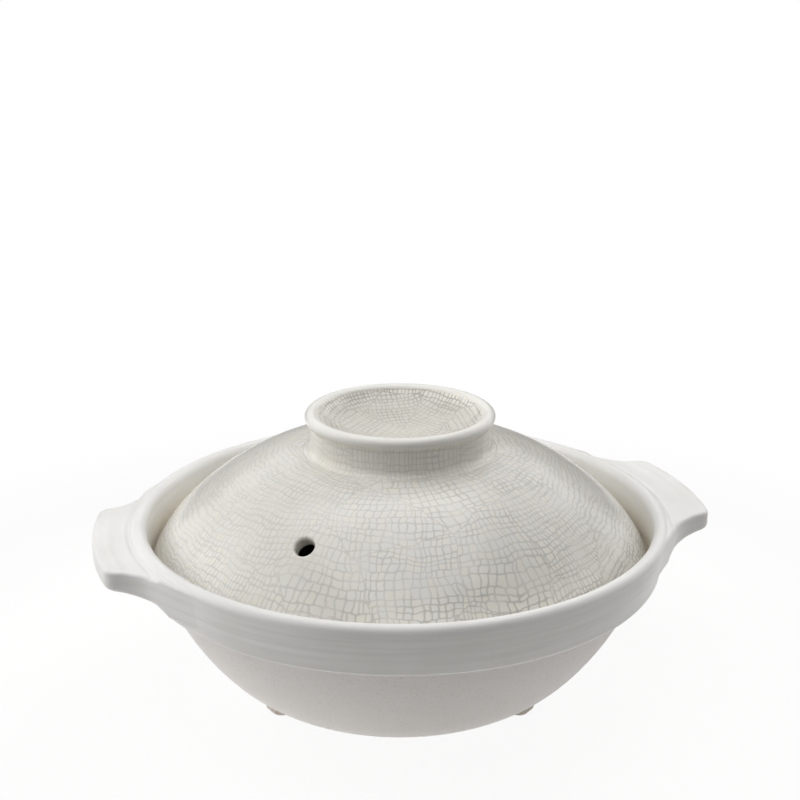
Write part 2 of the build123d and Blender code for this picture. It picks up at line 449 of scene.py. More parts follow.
def made_real(carrier: bpy.types.Object, tree: Tree, values: dict, name: str) -> bpy.types.Object:
    """Runs a geometry node tree on an object and keeps the result as a plain mesh.

    Args:
        carrier: The object that holds the tree's input geometry; it is removed.
        tree: The tree.
        values: The tree's inputs by name.
        name: The new object's name.

    Returns:
        The new object, at the origin.
    """
    modifier = carrier.modifiers.new(tree.name, "NODES")
    modifier.node_group = tree
    for item in tree.interface.items_tree:
        if item.item_type == "SOCKET" and item.in_out == "INPUT" and item.name in values:
            modifier[item.identifier] = values[item.name]
    graph = bpy.context.evaluated_depsgraph_get()
    mesh = bpy.data.meshes.new_from_object(carrier.evaluated_get(graph))
    mesh.name = name
    bpy.data.objects.remove(carrier)
    return placed(mesh, name)


def placed(mesh: bpy.types.Mesh, name: str) -> bpy.types.Object:
    """Puts a mesh in the scene, at the origin, and points its faces outwards.

    Args:
        mesh: The mesh.
        name: The new object's name.

    Returns:
        The new object.
    """
    shape = bmesh.new()
    shape.from_mesh(mesh)
    bmesh.ops.recalc_face_normals(shape, faces=shape.faces)
    shape.to_mesh(mesh)
    shape.free()
    piece = bpy.data.objects.new(name, mesh)
    bpy.context.scene.collection.objects.link(piece)
    return piece


def thrown(
    outline: Outline, throwing: Throwing, wheel: Tree, glaze: bpy.types.Material, name: str
) -> bpy.types.Object:
    """Turns an outline on the wheel.

    Args:
        outline: The piece's outline, from one end on the axis to the other.
        throwing: How it was thrown.
        wheel: The tree that turns it.
        glaze: Its material.
        name: Its name.

    Returns:
        The turned piece.
    """
    points = np.array(outline.points)
    along = np.gradient(points, axis=0)
    along /= np.linalg.norm(along, axis=1)[:, None]
    area = float(np.sum(points[:-1, 0] * points[1:, 1] - points[1:, 0] * points[:-1, 1]))
    inward = np.stack([-along[:, 1], along[:, 0]], axis=1) * (1.0 if area > 0 else -1.0)
    mesh = bpy.data.meshes.new(name + "_outline")
    mesh.from_pydata([(radius * MM, 0.0, height * MM) for radius, height in points], [], [])
    rows = {"length": outline.lengths() * MM, "lines": np.array(outline.lines)}
    for attribute, numbers in rows.items():
        layer = mesh.attributes.new(attribute, "FLOAT", "POINT")
        layer.data.foreach_set("value", numbers.astype(np.float32))
    normals = np.stack([inward[:, 0], np.zeros(len(points)), inward[:, 1]], axis=1)
    layer = mesh.attributes.new("inward", "FLOAT_VECTOR", "POINT")
    layer.data.foreach_set("vector", normals.astype(np.float32).ravel())
    carrier = bpy.data.objects.new(name + "_outline", mesh)
    bpy.context.scene.collection.objects.link(carrier)
    values = {
        "Segments": throwing.segments,
        "Wobble Share": throwing.wobble_share,
        "Line Height": throwing.line_height * MM,
        "Line Spacing": throwing.line_spacing * MM,
        "Seed": throwing.seed,
        "Glaze": glaze,
    }
    return made_real(carrier, wheel, values, name)


def store_flow(piece: bpy.types.Object, outline: Outline) -> None:
    """Stores where each vertex of a turned piece lies along its outline.

    The attribute's X and Y spread the surface flat round its nearer pole, so that a pattern drawn
    on them has no seam, and its Z is the length along the outline, all in metres.

    Args:
        piece: The turned piece.
        outline: The outline that it was turned from.
    """
    mesh = piece.data
    spots = np.zeros(len(mesh.vertices) * 3, np.float32)
    mesh.vertices.foreach_get("co", spots)
    spots = spots.reshape(-1, 3) / MM
    here = np.stack([np.hypot(spots[:, 0], spots[:, 1]), spots[:, 2]], axis=1)
    points, lengths = np.array(outline.points), outline.lengths()
    steps = np.diff(points, axis=0)
    sizes = np.maximum(np.sum(steps ** 2, axis=1), TINY)
    along = np.zeros(len(here))
    for part in np.array_split(np.arange(len(here)), 1 + len(here) // BATCH):
        offset = here[part][:, None, :] - points[None, :-1]
        share = np.clip(np.sum(offset * steps, axis=2) / sizes, 0, 1)
        gap = np.linalg.norm(offset - steps * share[:, :, None], axis=2)
        best = np.argmin(gap, axis=1)
        row = np.arange(len(part))
        along[part] = lengths[best] + share[row, best] * np.sqrt(sizes[best])
    spread = np.minimum(along, lengths[-1] - along)
    angle = np.arctan2(spots[:, 1], spots[:, 0])
    flow = np.stack([spread * np.cos(angle), spread * np.sin(angle), along], axis=1) * MM
    layer = mesh.attributes.new(FLOW, "FLOAT_VECTOR", "POINT")
    layer.data.foreach_set("vector", flow.astype(np.float32).ravel())


def lofted(loops: list[list[Place]], glaze: bpy.types.Material, name: str) -> bpy.types.Object:
    """Joins closed loops of points, in millimetres, into a closed smooth piece.

    Args:
        loops: The loops, each with the same number of points.
        glaze: The piece's material.
        name: Its name.

    Returns:
        The piece, its ends closed.
    """
    count = len(loops[0])
    shape = bmesh.new()
    rings = [[shape.verts.new(Vector(point) * MM) for point in loop] for loop in loops]
    for first, second in zip(rings, rings[1:]):
        for i in range(count):
            j = (i + 1) % count
            shape.faces.new((first[i], first[j], second[j], second[i]))
    shape.faces.new(rings[0])
    shape.faces.new(rings[-1])
    for face in shape.faces:
        face.smooth = True
    mesh = bpy.data.meshes.new(name)
    shape.to_mesh(mesh)
    shape.free()
    mesh.materials.append(glaze)
    return placed(mesh, name)


def settle(piece: bpy.types.Object, body: Body, slot: str, *nodes: str) -> None:
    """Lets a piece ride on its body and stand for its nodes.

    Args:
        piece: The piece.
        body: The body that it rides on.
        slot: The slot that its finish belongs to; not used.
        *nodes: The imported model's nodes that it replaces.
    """
    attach(piece, body.value)
    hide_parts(*nodes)
    faces = len(piece.data.polygons)
    log.info("%s: %d faces on %s, for %s", piece.name, faces, body.value, ", ".join(nodes))


# Finishes

def new_material(name: str) -> tuple[bpy.types.Material, Tree]:
    """Starts a material without any nodes.

    Args:
        name: The material's name.

    Returns:
        The material and its tree.
    """
    material = bpy.data.materials.new(name)
    material.use_nodes = True
    tree = material.node_tree
    tree.nodes.clear()
    return material, tree


@dataclass(frozen=True)
class Patches:
    """A soft uneven pattern, such as clouds in a glaze or grains in clay.

    Attributes:
        size: How large the patches are, in millimetres.
        detail: How much finer noise there is in them.
        start: The value of the noise at which a patch starts to show.
        full: The value at which it shows fully.
        least: What the pattern gives between the patches.
        most: What it gives on them.
    """

    size: float
    detail: float
    start: float
    full: float
    least: float = 0.0
    most: float = 1.0

    def draw(self, tree: Tree, place: Socket | Node) -> Node:
        """Draws the pattern.

        Args:
            tree: The material's tree.
            place: The place on the piece, in metres.

        Returns:
            How much of the pattern there is.
        """
        noise = add(tree, Kind.NOISE, (place, 1 / (self.size * MM), self.detail))
        bounds = (noise, self.start, self.full, self.least, self.most)
        return add(tree, Kind.RANGE, bounds, interpolation_type="SMOOTHSTEP")


@dataclass(frozen=True)
class Relief:
    """How deep the small unevenness of a surface looks.

    Attributes:
        strength: How strongly it shows, from 0 to 1.
        depth: Its full depth, in millimetres.
    """

    strength: float
    depth: float

    def inputs(self, height: Node) -> dict:
        """Gives what a bump node takes in for a height from 0 to 1."""
        return {"Strength": self.strength, "Distance": self.depth * MM, "Height": height}


@dataclass(frozen=True)
class Crackle:
    """The sizes of a net of cracks, in millimetres.

    The net has plates, rows that end at a plate's edge, and cells that end at a row's edge. Its cracks
    are drawn about three times as wide as real ones, which are too fine to show.

    Attributes:
        plate: Distance between the first, long cracks.
        row: Distance between the cracks that cut a plate into rows, at the front.
        cell: Distance between the cracks that cut a row into cells, at the front.
        run: How many rows a crack across them runs through.
        shift: How far those cracks are moved from one run to the next.
        finer: How many times finer the net is away from the front.
        front: How much a plate faces the front where the net turns coarser, and where it is coarsest.
        unevenness: How much the distances differ, from 0 to 1.
        scales: The least and the most that a plate's net is scaled by.
        turn: How far the net is turned from plate to plate, in radians.
        apart: How far the nets of the plates are moved apart.
        bend: How far the long cracks bend.
        bend_over: Over which length they bend.
        shake: How far every crack strays.
        shake_over: Over which length they stray.
        rounding: How much a cell's corners are rounded.
        width: Half the width of a crack.
        stain_reach: Where the stain is full and where it ends, in such half widths.
        plate_gap: How much closer than it is a plate's edge counts, so that its crack is thinner.
        round_from: How far from the pole the net starts to follow the wheel, and where it does so fully.
        worn: How unevenly the cracks took up stain.
    """

    plate: float = 42.0
    row: float = 3.75
    cell: float = 3.3
    run: float = 2.0
    shift: float = 370.0
    finer: float = 1.45
    front: Pair = (0.55, 0.93)
    unevenness: float = 0.95
    scales: Pair = (0.92, 1.1)
    turn: float = 0.3
    apart: float = 300.0
    bend: float = 11.0
    bend_over: float = 30.0
    shake: float = 3.1
    shake_over: float = 5.5
    rounding: float = 0.9
    width: float = 0.32
    stain_reach: Pair = (-0.2, 2.0)
    plate_gap: float = 1.6
    round_from: Pair = (30.0, 46.0)
    worn: Patches = Patches(size=14.0, detail=3.0, start=0.3, full=0.65, least=0.45)

    def draw(self, tree: Tree, flow: Socket) -> tuple[Node, Node]:
        """Draws the net.

        Args:
            tree: The material's tree.
            flow: Place on the spread surface, in metres.

        Returns:
            How much crack there is, from 0 to 1, and a number from 0 to 1 for each cell.
        """
        spread = add(tree, Kind.VECTOR, (flow, (1, 1, 0)), operation="MULTIPLY")
        bent = spread
        for over, detail, sway in ((self.bend_over, 1.0, self.bend), (self.shake_over, 2.0, self.shake)):
            noise = add(tree, Kind.NOISE, (spread, 1 / (over * MM), detail))
            push = add(tree, Kind.VECTOR, (out(noise, "Color"), NOISE_MIDDLE), operation="SUBTRACT")
            push = add(tree, Kind.VECTOR, (push, sway * MM), operation="SCALE")
            bent = add(tree, Kind.VECTOR, (bent, push), operation="ADD")

        inputs = {"Vector": bent, "Scale": 1 / (self.plate * MM), "Randomness": 1.0}
        plates = add(tree, Kind.CELLS, inputs, voronoi_dimensions="2D")
        edges = add(tree, Kind.CELLS, inputs, voronoi_dimensions="2D", feature="DISTANCE_TO_EDGE")
        plate_gap = add(tree, Kind.MATH, (edges, self.plate * self.plate_gap), operation="MULTIPLY")
        finer = self.fineness(tree, out(plates, "Position"))
        place = self.plate_place(tree, bent, plates, finer)
        rows, row_gap = self.cuts(tree, place["X"], self.row, finer)
        runs_per_metre = 1 / (self.run * self.row * MM)
        run = add(tree, Kind.MATH, (out(rows, "W"), runs_per_metre), operation="MULTIPLY")
        run = add(tree, Kind.MATH, (run,), operation="FLOOR")
        along = add(tree, Kind.MATH, (run, self.shift * MM, place["Y"]), operation="MULTIPLY_ADD")
        cells, cell_gap = self.cuts(tree, along, self.cell, finer)

        gap = row_gap
        for other in (cell_gap, plate_gap):
            gap = add(tree, Kind.MATH, (gap, other, self.rounding), operation="SMOOTH_MIN")
        full, end = (self.width * reach for reach in self.stain_reach)
        crack = add(tree, Kind.RANGE, (gap, full, end, 1.0, 0.0), interpolation_type="SMOOTHSTEP")
        crack = add(tree, Kind.MATH, (crack, self.worn.draw(tree, spread)), operation="MULTIPLY")
        own = [add(tree, Kind.COLOUR_PARTS, (out(node, "Color"),)).outputs for node in (rows, cells)]
        own = add(tree, Kind.MATH, tuple(part["Red"] for part in own), operation="ADD")
        return crack, add(tree, Kind.MATH, (own,), operation="FRACT")

    def fineness(self, tree: Tree, middle: Socket) -> Node:
        """Works out how fine a plate's net is.

        Args:
            tree: The material's tree.
            middle: The middle of the plate.

        Returns:
            How many times finer than at the front.
        """
        towards = add(tree, Kind.VECTOR, (middle,), operation="NORMALIZE")
        towards = add(tree, Kind.VECTOR, (towards, FRONT), operation="DOT_PRODUCT")
        bounds = (out(towards, "Value"), *self.front, self.finer, 1.0)
        return add(tree, Kind.RANGE, bounds, interpolation_type="SMOOTHSTEP")

    def plate_place(self, tree: Tree, spot: Node, plates: Node, finer: Node) -> Sockets:
        """Measures a place from its plate's middle, outwards and round as the wheel turned.

        Args:
            tree: The material's tree.
            spot: The place on the spread surface, in metres.
            plates: The plates.
            finer: How fine the plate's net is.

        Returns:
            The distances outwards (X) and round (Y), turned, moved and scaled by the plate's own
            numbers; straight ones on a plate close to the pole.
        """
        middle = out(plates, "Position")
        far = out(add(tree, Kind.VECTOR, (middle,), operation="LENGTH"), "Value")
        here = add(tree, Kind.PARTS, (spot,)).outputs
        there = add(tree, Kind.PARTS, (middle,)).outputs
        heading = add(tree, Kind.MATH, (there["Y"], there["X"]), operation="ARCTAN2")
        straight = add(tree, Kind.VECTOR, (spot, middle), operation="SUBTRACT")
        straight = add(tree, Kind.ROTATE, {"Vector": straight, "Angle": heading}, invert=True)
        away = out(add(tree, Kind.VECTOR, (spot,), operation="LENGTH"), "Value")
        away = add(tree, Kind.MATH, (away, far), operation="SUBTRACT")
        angle = add(tree, Kind.MATH, (here["Y"], here["X"]), operation="ARCTAN2")
        angle = add(tree, Kind.MATH, (angle, heading), operation="SUBTRACT")
        angle = add(tree, Kind.MATH, (angle, math.pi, -math.pi), operation="WRAP")
        curved = add(tree, Kind.JOINED, (away, add(tree, Kind.MATH, (angle, far), operation="MULTIPLY")))
        start, end = (radius * MM for radius in self.round_from)
        share = add(tree, Kind.RANGE, (far, start, end, 0.0, 1.0))
        moved = add(tree, Kind.MIX, (share, straight, curved), data_type="VECTOR")

        own = add(tree, Kind.COLOUR_PARTS, (out(plates, "Color"),)).outputs
        turn = add(tree, Kind.MATH, (own["Red"], self.turn, -self.turn / 2), operation="MULTIPLY_ADD")
        moved = add(tree, Kind.ROTATE, {"Vector": moved, "Angle": turn})
        apart = add(tree, Kind.VECTOR, (out(plates, "Color"), self.apart * MM), operation="SCALE")
        moved = add(tree, Kind.VECTOR, (moved, apart), operation="ADD")
        for scale in (finer, add(tree, Kind.RANGE, (own["Blue"], 0.0, 1.0, *self.scales))):
            moved = add(tree, Kind.VECTOR, (moved, scale), operation="SCALE")
        return add(tree, Kind.PARTS, (moved,)).outputs

    def cuts(self, tree: Tree, place: Socket | Node, distance: float, finer: Node) -> tuple[Node, Node]:
        """Cuts the surface up by cracks across one direction.

        Args:
            tree: The material's tree.
            place: How far along that direction, in metres.
            distance: Distance between the cracks, in millimetres.
            finer: How many times finer they are here.

        Returns:
            The pieces between the cracks, and how far it is to the nearest crack, in millimetres.
        """
        inputs = {"W": place, "Scale": 1 / (distance * MM), "Randomness": self.unevenness}
        pieces = add(tree, Kind.CELLS, inputs, voronoi_dimensions="1D")
        gap = add(tree, Kind.CELLS, inputs, voronoi_dimensions="1D", feature="DISTANCE_TO_EDGE")
        gap = add(tree, Kind.MATH, (gap, distance), operation="MULTIPLY")
        return pieces, add(tree, Kind.MATH, (gap, finer), operation="DIVIDE")


@dataclass(frozen=True)
class CrackleGlaze:
    """A clear, shrunken glaze over pale clay, with tea-stained cracks.

    To the eye it is a soft, warm white under gloss, netted with fine grey lines that fade at the left.

    Attributes:
        name: The finish's name.
        plain_from: Length along the outline where a stretch without cracks starts.
        plain_to: Where that stretch ends.
        plain: That stretch's colour.
        plain_roughness: Its roughness.
        soft: How far it runs out into the rest.
        pooled_and_shaded_to: Length up to which the glaze pooled and the hollow is darkened by painted
        shade, if anywhere.
        crackle: The net of cracks.
        cream: The clay's colour through the glaze.
        cool: The colour of its greyer cells.
        blush: The colour of a few pinker cells.
        blush_share: How strong that colour is.
        blushing: The cell's number below which it shows, and below which it shows fully.
        cloud: The colour where the glaze is thicker.
        clouds: Where it is thicker.
        pool_and_shade: Its colour there: pooled glaze, and painted shade of the hollow.
        pool_and_shade_share: How strong that colour is.
        pool_and_shade_soft: How far it runs out.
        stain: The colour of the cracks.
        stain_across: The places along X between which the stain grows.
        stain_shares: How strong it is at those places.
        gathered: How many times stronger it is near the stretch without cracks.
        gathered_over: How far before that stretch it starts to gather, and has gathered fully.
        beyond: How much of it is left beyond that stretch; on the knob's neck the fainter stain is painted
        light that lifts the neck out of the lip's shade.
        roughness: The gloss.
        ripple: How wide the glaze's ripples are.
        crack_depth: How deep a crack is, beside the ripples.
        relief: How deep the ripples and the cracks look.
        refraction: The glaze's index of refraction.
    """

    name: str
    plain_from: float
    plain_to: float
    plain: str
    plain_roughness: float
    soft: float
    pooled_and_shaded_to: float = 0.0
    crackle: Crackle = Crackle()
    cream: str = "#e8e5dc"
    cool: str = "#e3e2de"
    blush: str = "#e6dfd3"
    blush_share: float = 0.2
    blushing: Pair = (0.16, 0.08)
    cloud: str = "#dddad1"
    clouds: Patches = Patches(size=42.0, detail=3.0, start=0.35, full=0.7, most=0.7)
    pool_and_shade: str = "#cfcbc0"
    pool_and_shade_share: float = 0.8
    pool_and_shade_soft: float = 7.0
    stain: str = "#a09e98"
    stain_across: Pair = (-95.0, 20.0)
    stain_shares: Pair = (0.3, 0.52)
    gathered: float = 1.75
    gathered_over: Pair = (42.0, 4.0)
    beyond: float = 0.4
    roughness: float = 0.2
    ripple: float = 9.0
    crack_depth: float = 0.25
    relief: Relief = Relief(strength=0.25, depth=0.12)
    refraction: float = 1.52

    def build(self) -> bpy.types.Material:
        """Makes the material.

        Returns:
            The material.
        """
        material, tree = new_material(self.name)
        flow = out(add(tree, Kind.ATTRIBUTE, attribute_name=FLOW), "Vector")
        length = out(add(tree, Kind.PARTS, (flow,)), "Z")
        place = out(add(tree, Kind.PLACE), "Object")
        start, end, soft = self.plain_from * MM, self.plain_to * MM, self.soft * MM
        plain = ((length, start - soft, start, 0.0, 1.0), (length, end, end + soft, 1.0, 0.0))
        plain = [add(tree, Kind.RANGE, ends, interpolation_type="SMOOTHSTEP") for ends in plain]
        plain = add(tree, Kind.MATH, tuple(plain), operation="MULTIPLY")
        crackled = add(tree, Kind.MATH, (1.0, plain), operation="SUBTRACT")
        crack, own = self.crackle.draw(tree, flow)
        crack = add(tree, Kind.MATH, (crack, crackled), operation="MULTIPLY")

        blush = add(tree, Kind.RANGE, (own, *self.blushing, 0.0, self.blush_share))
        # In the knob's dish this colour is partly pooled glaze and partly painted shade of the dish's
        # hollow.
        pool_and_shade_from, pool_and_shade_to = (self.pooled_and_shaded_to - self.pool_and_shade_soft) * MM, self.pooled_and_shaded_to * MM
        pool_and_painted_light = (length, pool_and_shade_from, pool_and_shade_to, self.pool_and_shade_share, 0.0)
        pool_and_painted_light = add(tree, Kind.RANGE, pool_and_painted_light, interpolation_type="SMOOTHSTEP")
        ground = add(tree, Kind.MIX, (own, linear(self.cream), linear(self.cool)), data_type="RGBA")
        cloudy = self.clouds.draw(tree, place)
        layers = ((blush, self.blush), (cloudy, self.cloud), (pool_and_painted_light, self.pool_and_shade), (plain, self.plain))
        for share, colour in layers:
            ground = add(tree, Kind.MIX, (share, ground, linear(colour)), data_type="RGBA")

        sideways = out(add(tree, Kind.PARTS, (place,)), "X")
        across = (sideways, *(x * MM for x in self.stain_across), *self.stain_shares)
        across = add(tree, Kind.RANGE, across, interpolation_type="SMOOTHSTEP")
        gathered = (length, *(start - before * MM for before in self.gathered_over), 1.0, self.gathered)
        beyond = (length, end, end + soft, 1.0, self.beyond)
        stained = crack
        for factor in (across, add(tree, Kind.RANGE, gathered), add(tree, Kind.RANGE, beyond)):
            stained = add(tree, Kind.MATH, (stained, factor), operation="MULTIPLY")
        colour = add(tree, Kind.MIX, (stained, ground, linear(self.stain)), data_type="RGBA")

        rough = add(tree, Kind.RANGE, (plain, 0.0, 1.0, self.roughness, self.plain_roughness))
        ripple = add(tree, Kind.NOISE, (place, 1 / (self.ripple * MM), 1.0))
        height = add(tree, Kind.MATH, (crack, -self.crack_depth, ripple), operation="MULTIPLY_ADD")
        bump = add(tree, Kind.BUMP, self.relief.inputs(height))
        inputs = {"Base Color": colour, "Roughness": rough, "IOR": self.refraction, "Normal": bump}
        add(tree, Kind.SURFACE, {"Surface": add(tree, Kind.GLAZE, inputs)})
        return material


@dataclass(frozen=True)
class SatinWhiteGlaze:
    """An opaque white stoneware glaze with a satin sheen, thin and matte on the lower body.

    To the eye it is a cool white with wide, soft highlights and faint rings, whose hollows carry painted
    shade. Where it is thin, specks of grog show, which are drawn about three times as coarse as real ones.

    Attributes:
        name: The finish's name.
        matte_to: Length along the outline up to which the glaze is thin and matte, if anywhere.
        wall_from: Where the wall inside the lip starts, which turns warmer down to the ledge: pooled glaze,
        and painted warm light bounced from the lid.
        wall_to: Where that wall ends at the ledge.
        ledge_to: Where the bare ledge ends.
        white: The glaze's colour.
        shade: Its colour where it lies thicker.
        clouds: Where it lies thicker.
        ring: Its colour in the hollows of the throwing rings, darker: painted shade of the hollows.
        rings: How long those hollows are in X and Y and how high in Z.
        ringed: The noise values at which a hollow starts and is full.
        ring_shade_share: How strong that painted shade is.
        ring_depth: How deep it is, beside the swells.
        swell: How wide the swells of the surface are.
        sheen: The roughness.
        thin: Its colour where the clay shows through.
        grog: The colour of the specks there.
        specks: Where the specks are.
        thin_rougher: How much rougher it is there.
        thin_soft: How far that stretch runs out either way.
        grain: How wide the grains of clay are that stand out there.
        grain_depth: How high they stand, beside the swells.
        pool_and_painted_light: Its colour at the foot of the inner wall: pooled glaze, and painted warm
            light bounced from the lid.
        pool_and_light_run: How far below the ledge that colour runs out.
        clay: The ledge's colour.
        clay_rise: How far before and behind the ledge's edge its colour starts and is full.
        clay_fall: How far it runs out either way at its other edge.
        relief: How deep the small unevenness looks.
        refraction: The glaze's index of refraction.
    """

    name: str
    matte_to: float = 0.0
    wall_from: float = 0.0
    wall_to: float = 0.0
    ledge_to: float = 0.0
    white: str = "#f1f0ee"
    shade: str = "#e9e8e5"
    clouds: Patches = Patches(size=40.0, detail=3.0, start=0.3, full=0.7, most=0.8)
    ring: str = "#dbd9d6"
    rings: Triple = (70.0, 70.0, 2.3)
    ringed: Pair = (0.35, 0.7)
    ring_shade_share: float = 0.4
    ring_depth: float = 0.8
    swell: float = 7.0
    sheen: Patches = Patches(size=12.0, detail=2.0, start=0.3, full=0.7, least=0.29, most=0.38)
    thin: str = "#ebe8e6"
    grog: str = "#dfd8d2"
    specks: Patches = Patches(size=1.3, detail=3.0, start=0.5, full=0.72, most=0.55)
    thin_rougher: float = 0.35
    thin_soft: float = 1.0
    grain: float = 0.8
    grain_depth: float = 0.35
    pool_and_painted_light: str = "#f5eedf"
    pool_and_light_run: float = 4.0
    clay: str = "#c3b5a2"
    clay_rise: Pair = (0.6, 0.2)
    clay_fall: float = 0.4
    relief: Relief = Relief(strength=0.3, depth=0.1)
    refraction: float = 1.5

    def build(self) -> bpy.types.Material:
        """Makes the material.

        Returns:
            The material.
        """
        material, tree = new_material(self.name)
        place = out(add(tree, Kind.PLACE), "Object")
        ground = (self.clouds.draw(tree, place), linear(self.white), linear(self.shade))
        colour = add(tree, Kind.MIX, ground, data_type="RGBA")
        drawn = tuple(1 / size for size in self.rings)
        drawn = add(tree, Kind.VECTOR, (place, drawn), operation="MULTIPLY")
        streak = add(tree, Kind.NOISE, (drawn, 1 / MM, 2.0))
        # Darker colour in the hollows of the throwing rings: painted shade of the hollows, beside the bump
        # that shapes them.
        hollow = (streak, *self.ringed, 0.0, self.ring_shade_share)
        hollow = add(tree, Kind.RANGE, hollow, interpolation_type="SMOOTHSTEP")
        colour = add(tree, Kind.MIX, (hollow, colour, linear(self.ring)), data_type="RGBA")
        rough = self.sheen.draw(tree, place)
        height = add(tree, Kind.NOISE, (place, 1 / (self.swell * MM), 2.0))
        height = add(tree, Kind.MATH, (streak, self.ring_depth, height), operation="MULTIPLY_ADD")
        if self.matte_to > 0:
            flow = out(add(tree, Kind.ATTRIBUTE, attribute_name=FLOW), "Vector")
            length = out(add(tree, Kind.PARTS, (flow,)), "Z")
            colour = self.inner_wall(tree, length, colour)
            low, high = ((self.matte_to + side * self.thin_soft) * MM for side in (-1, 1))
            matte = add(tree, Kind.RANGE, (length, low, high, 1.0, 0.0), interpolation_type="SMOOTHSTEP")
            thin = (self.specks.draw(tree, place), linear(self.thin), linear(self.grog))
            thin = add(tree, Kind.MIX, thin, data_type="RGBA")
            colour = add(tree, Kind.MIX, (matte, colour, thin), data_type="RGBA")
            rough = add(tree, Kind.MATH, (matte, self.thin_rougher, rough), operation="MULTIPLY_ADD")
            grain = add(tree, Kind.NOISE, (place, 1 / (self.grain * MM), 2.0))
            grain = add(tree, Kind.MATH, (grain, matte), operation="MULTIPLY")
            height = add(tree, Kind.MATH, (grain, self.grain_depth, height), operation="MULTIPLY_ADD")
        bump = add(tree, Kind.BUMP, self.relief.inputs(height))
        inputs = {"Base Color": colour, "Roughness": rough, "IOR": self.refraction, "Normal": bump}
        add(tree, Kind.SURFACE, {"Surface": add(tree, Kind.GLAZE, inputs)})
        return material

    def inner_wall(self, tree: Tree, length: Socket, colour: Node) -> Node:
        """Warms the wall inside the lip, where the glaze pooled, with painted warm light bounced from the
        lid, and bares the ledge.

        Args:
            tree: The material's tree.
            length: Length along the outline, in metres.
            colour: The colour elsewhere.

        Returns:
            The colour's node.
        """
        wall = (length, self.wall_from * MM, self.wall_to * MM, 0.0, 1.0)
        wall = add(tree, Kind.RANGE, wall, interpolation_type="SMOOTHSTEP")
        below = (length, self.ledge_to * MM, (self.ledge_to + self.pool_and_light_run) * MM, 1.0, 0.0)
        before, behind = self.clay_rise
        rise = (length, (self.wall_to - before) * MM, (self.wall_to + behind) * MM, 0.0, 1.0)
        low, high = ((self.ledge_to + side * self.clay_fall) * MM for side in (-1, 1))
        fall = (length, low, high, 1.0, 0.0)
        below, rise, fall = [add(tree, Kind.RANGE, bounds) for bounds in (below, rise, fall)]
        # The first tint is pooled glaze with painted warm light bounced from the lid; the second is the
        # bare ledge's clay.
        for first, second, tint in ((wall, below, self.pool_and_painted_light), (rise, fall, self.clay)):
            share = add(tree, Kind.MATH, (first, second), operation="MULTIPLY")
            colour = add(tree, Kind.MIX, (share, colour, linear(tint)), data_type="RGBA")
        return colour


@dataclass(frozen=True)
class BareClay:
    """Unglazed stoneware clay, wiped smooth: rough, dry and sandy to the eye.

    Its grains are drawn about twice as coarse as real ones, which are too fine to show.

    Attributes:
        name: The finish's name.
        clay: The clay's colour.
        dark: The colour of the grog in it.
        grog: Where the grog shows.
        grain: How wide the grains are.
        roughness: The roughness.
        relief: How deep the grains look.
    """

    name: str = "bare stoneware clay, wiped"
    clay: str = "#cfc8c0"
    dark: str = "#b3a89d"
    grog: Patches = Patches(size=1.1, detail=4.0, start=0.4, full=0.7)
    grain: float = 0.7
    roughness: float = 0.88
    relief: Relief = Relief(strength=0.6, depth=0.15)

    def build(self) -> bpy.types.Material:
        """Makes the material.

        Returns:
            The material.
        """
        material, tree = new_material(self.name)
        place = out(add(tree, Kind.PLACE), "Object")
        colour = (self.grog.draw(tree, place), linear(self.clay), linear(self.dark))
        colour = add(tree, Kind.MIX, colour, data_type="RGBA")
        grain = add(tree, Kind.NOISE, (place, 1 / (self.grain * MM), 4.0))
        bump = add(tree, Kind.BUMP, self.relief.inputs(grain))
        inputs = {"Base Color": colour, "Roughness": self.roughness, "Normal": bump}
        add(tree, Kind.SURFACE, {"Surface": add(tree, Kind.GLAZE, inputs)})
        return material


# Bowl, lugs and feet

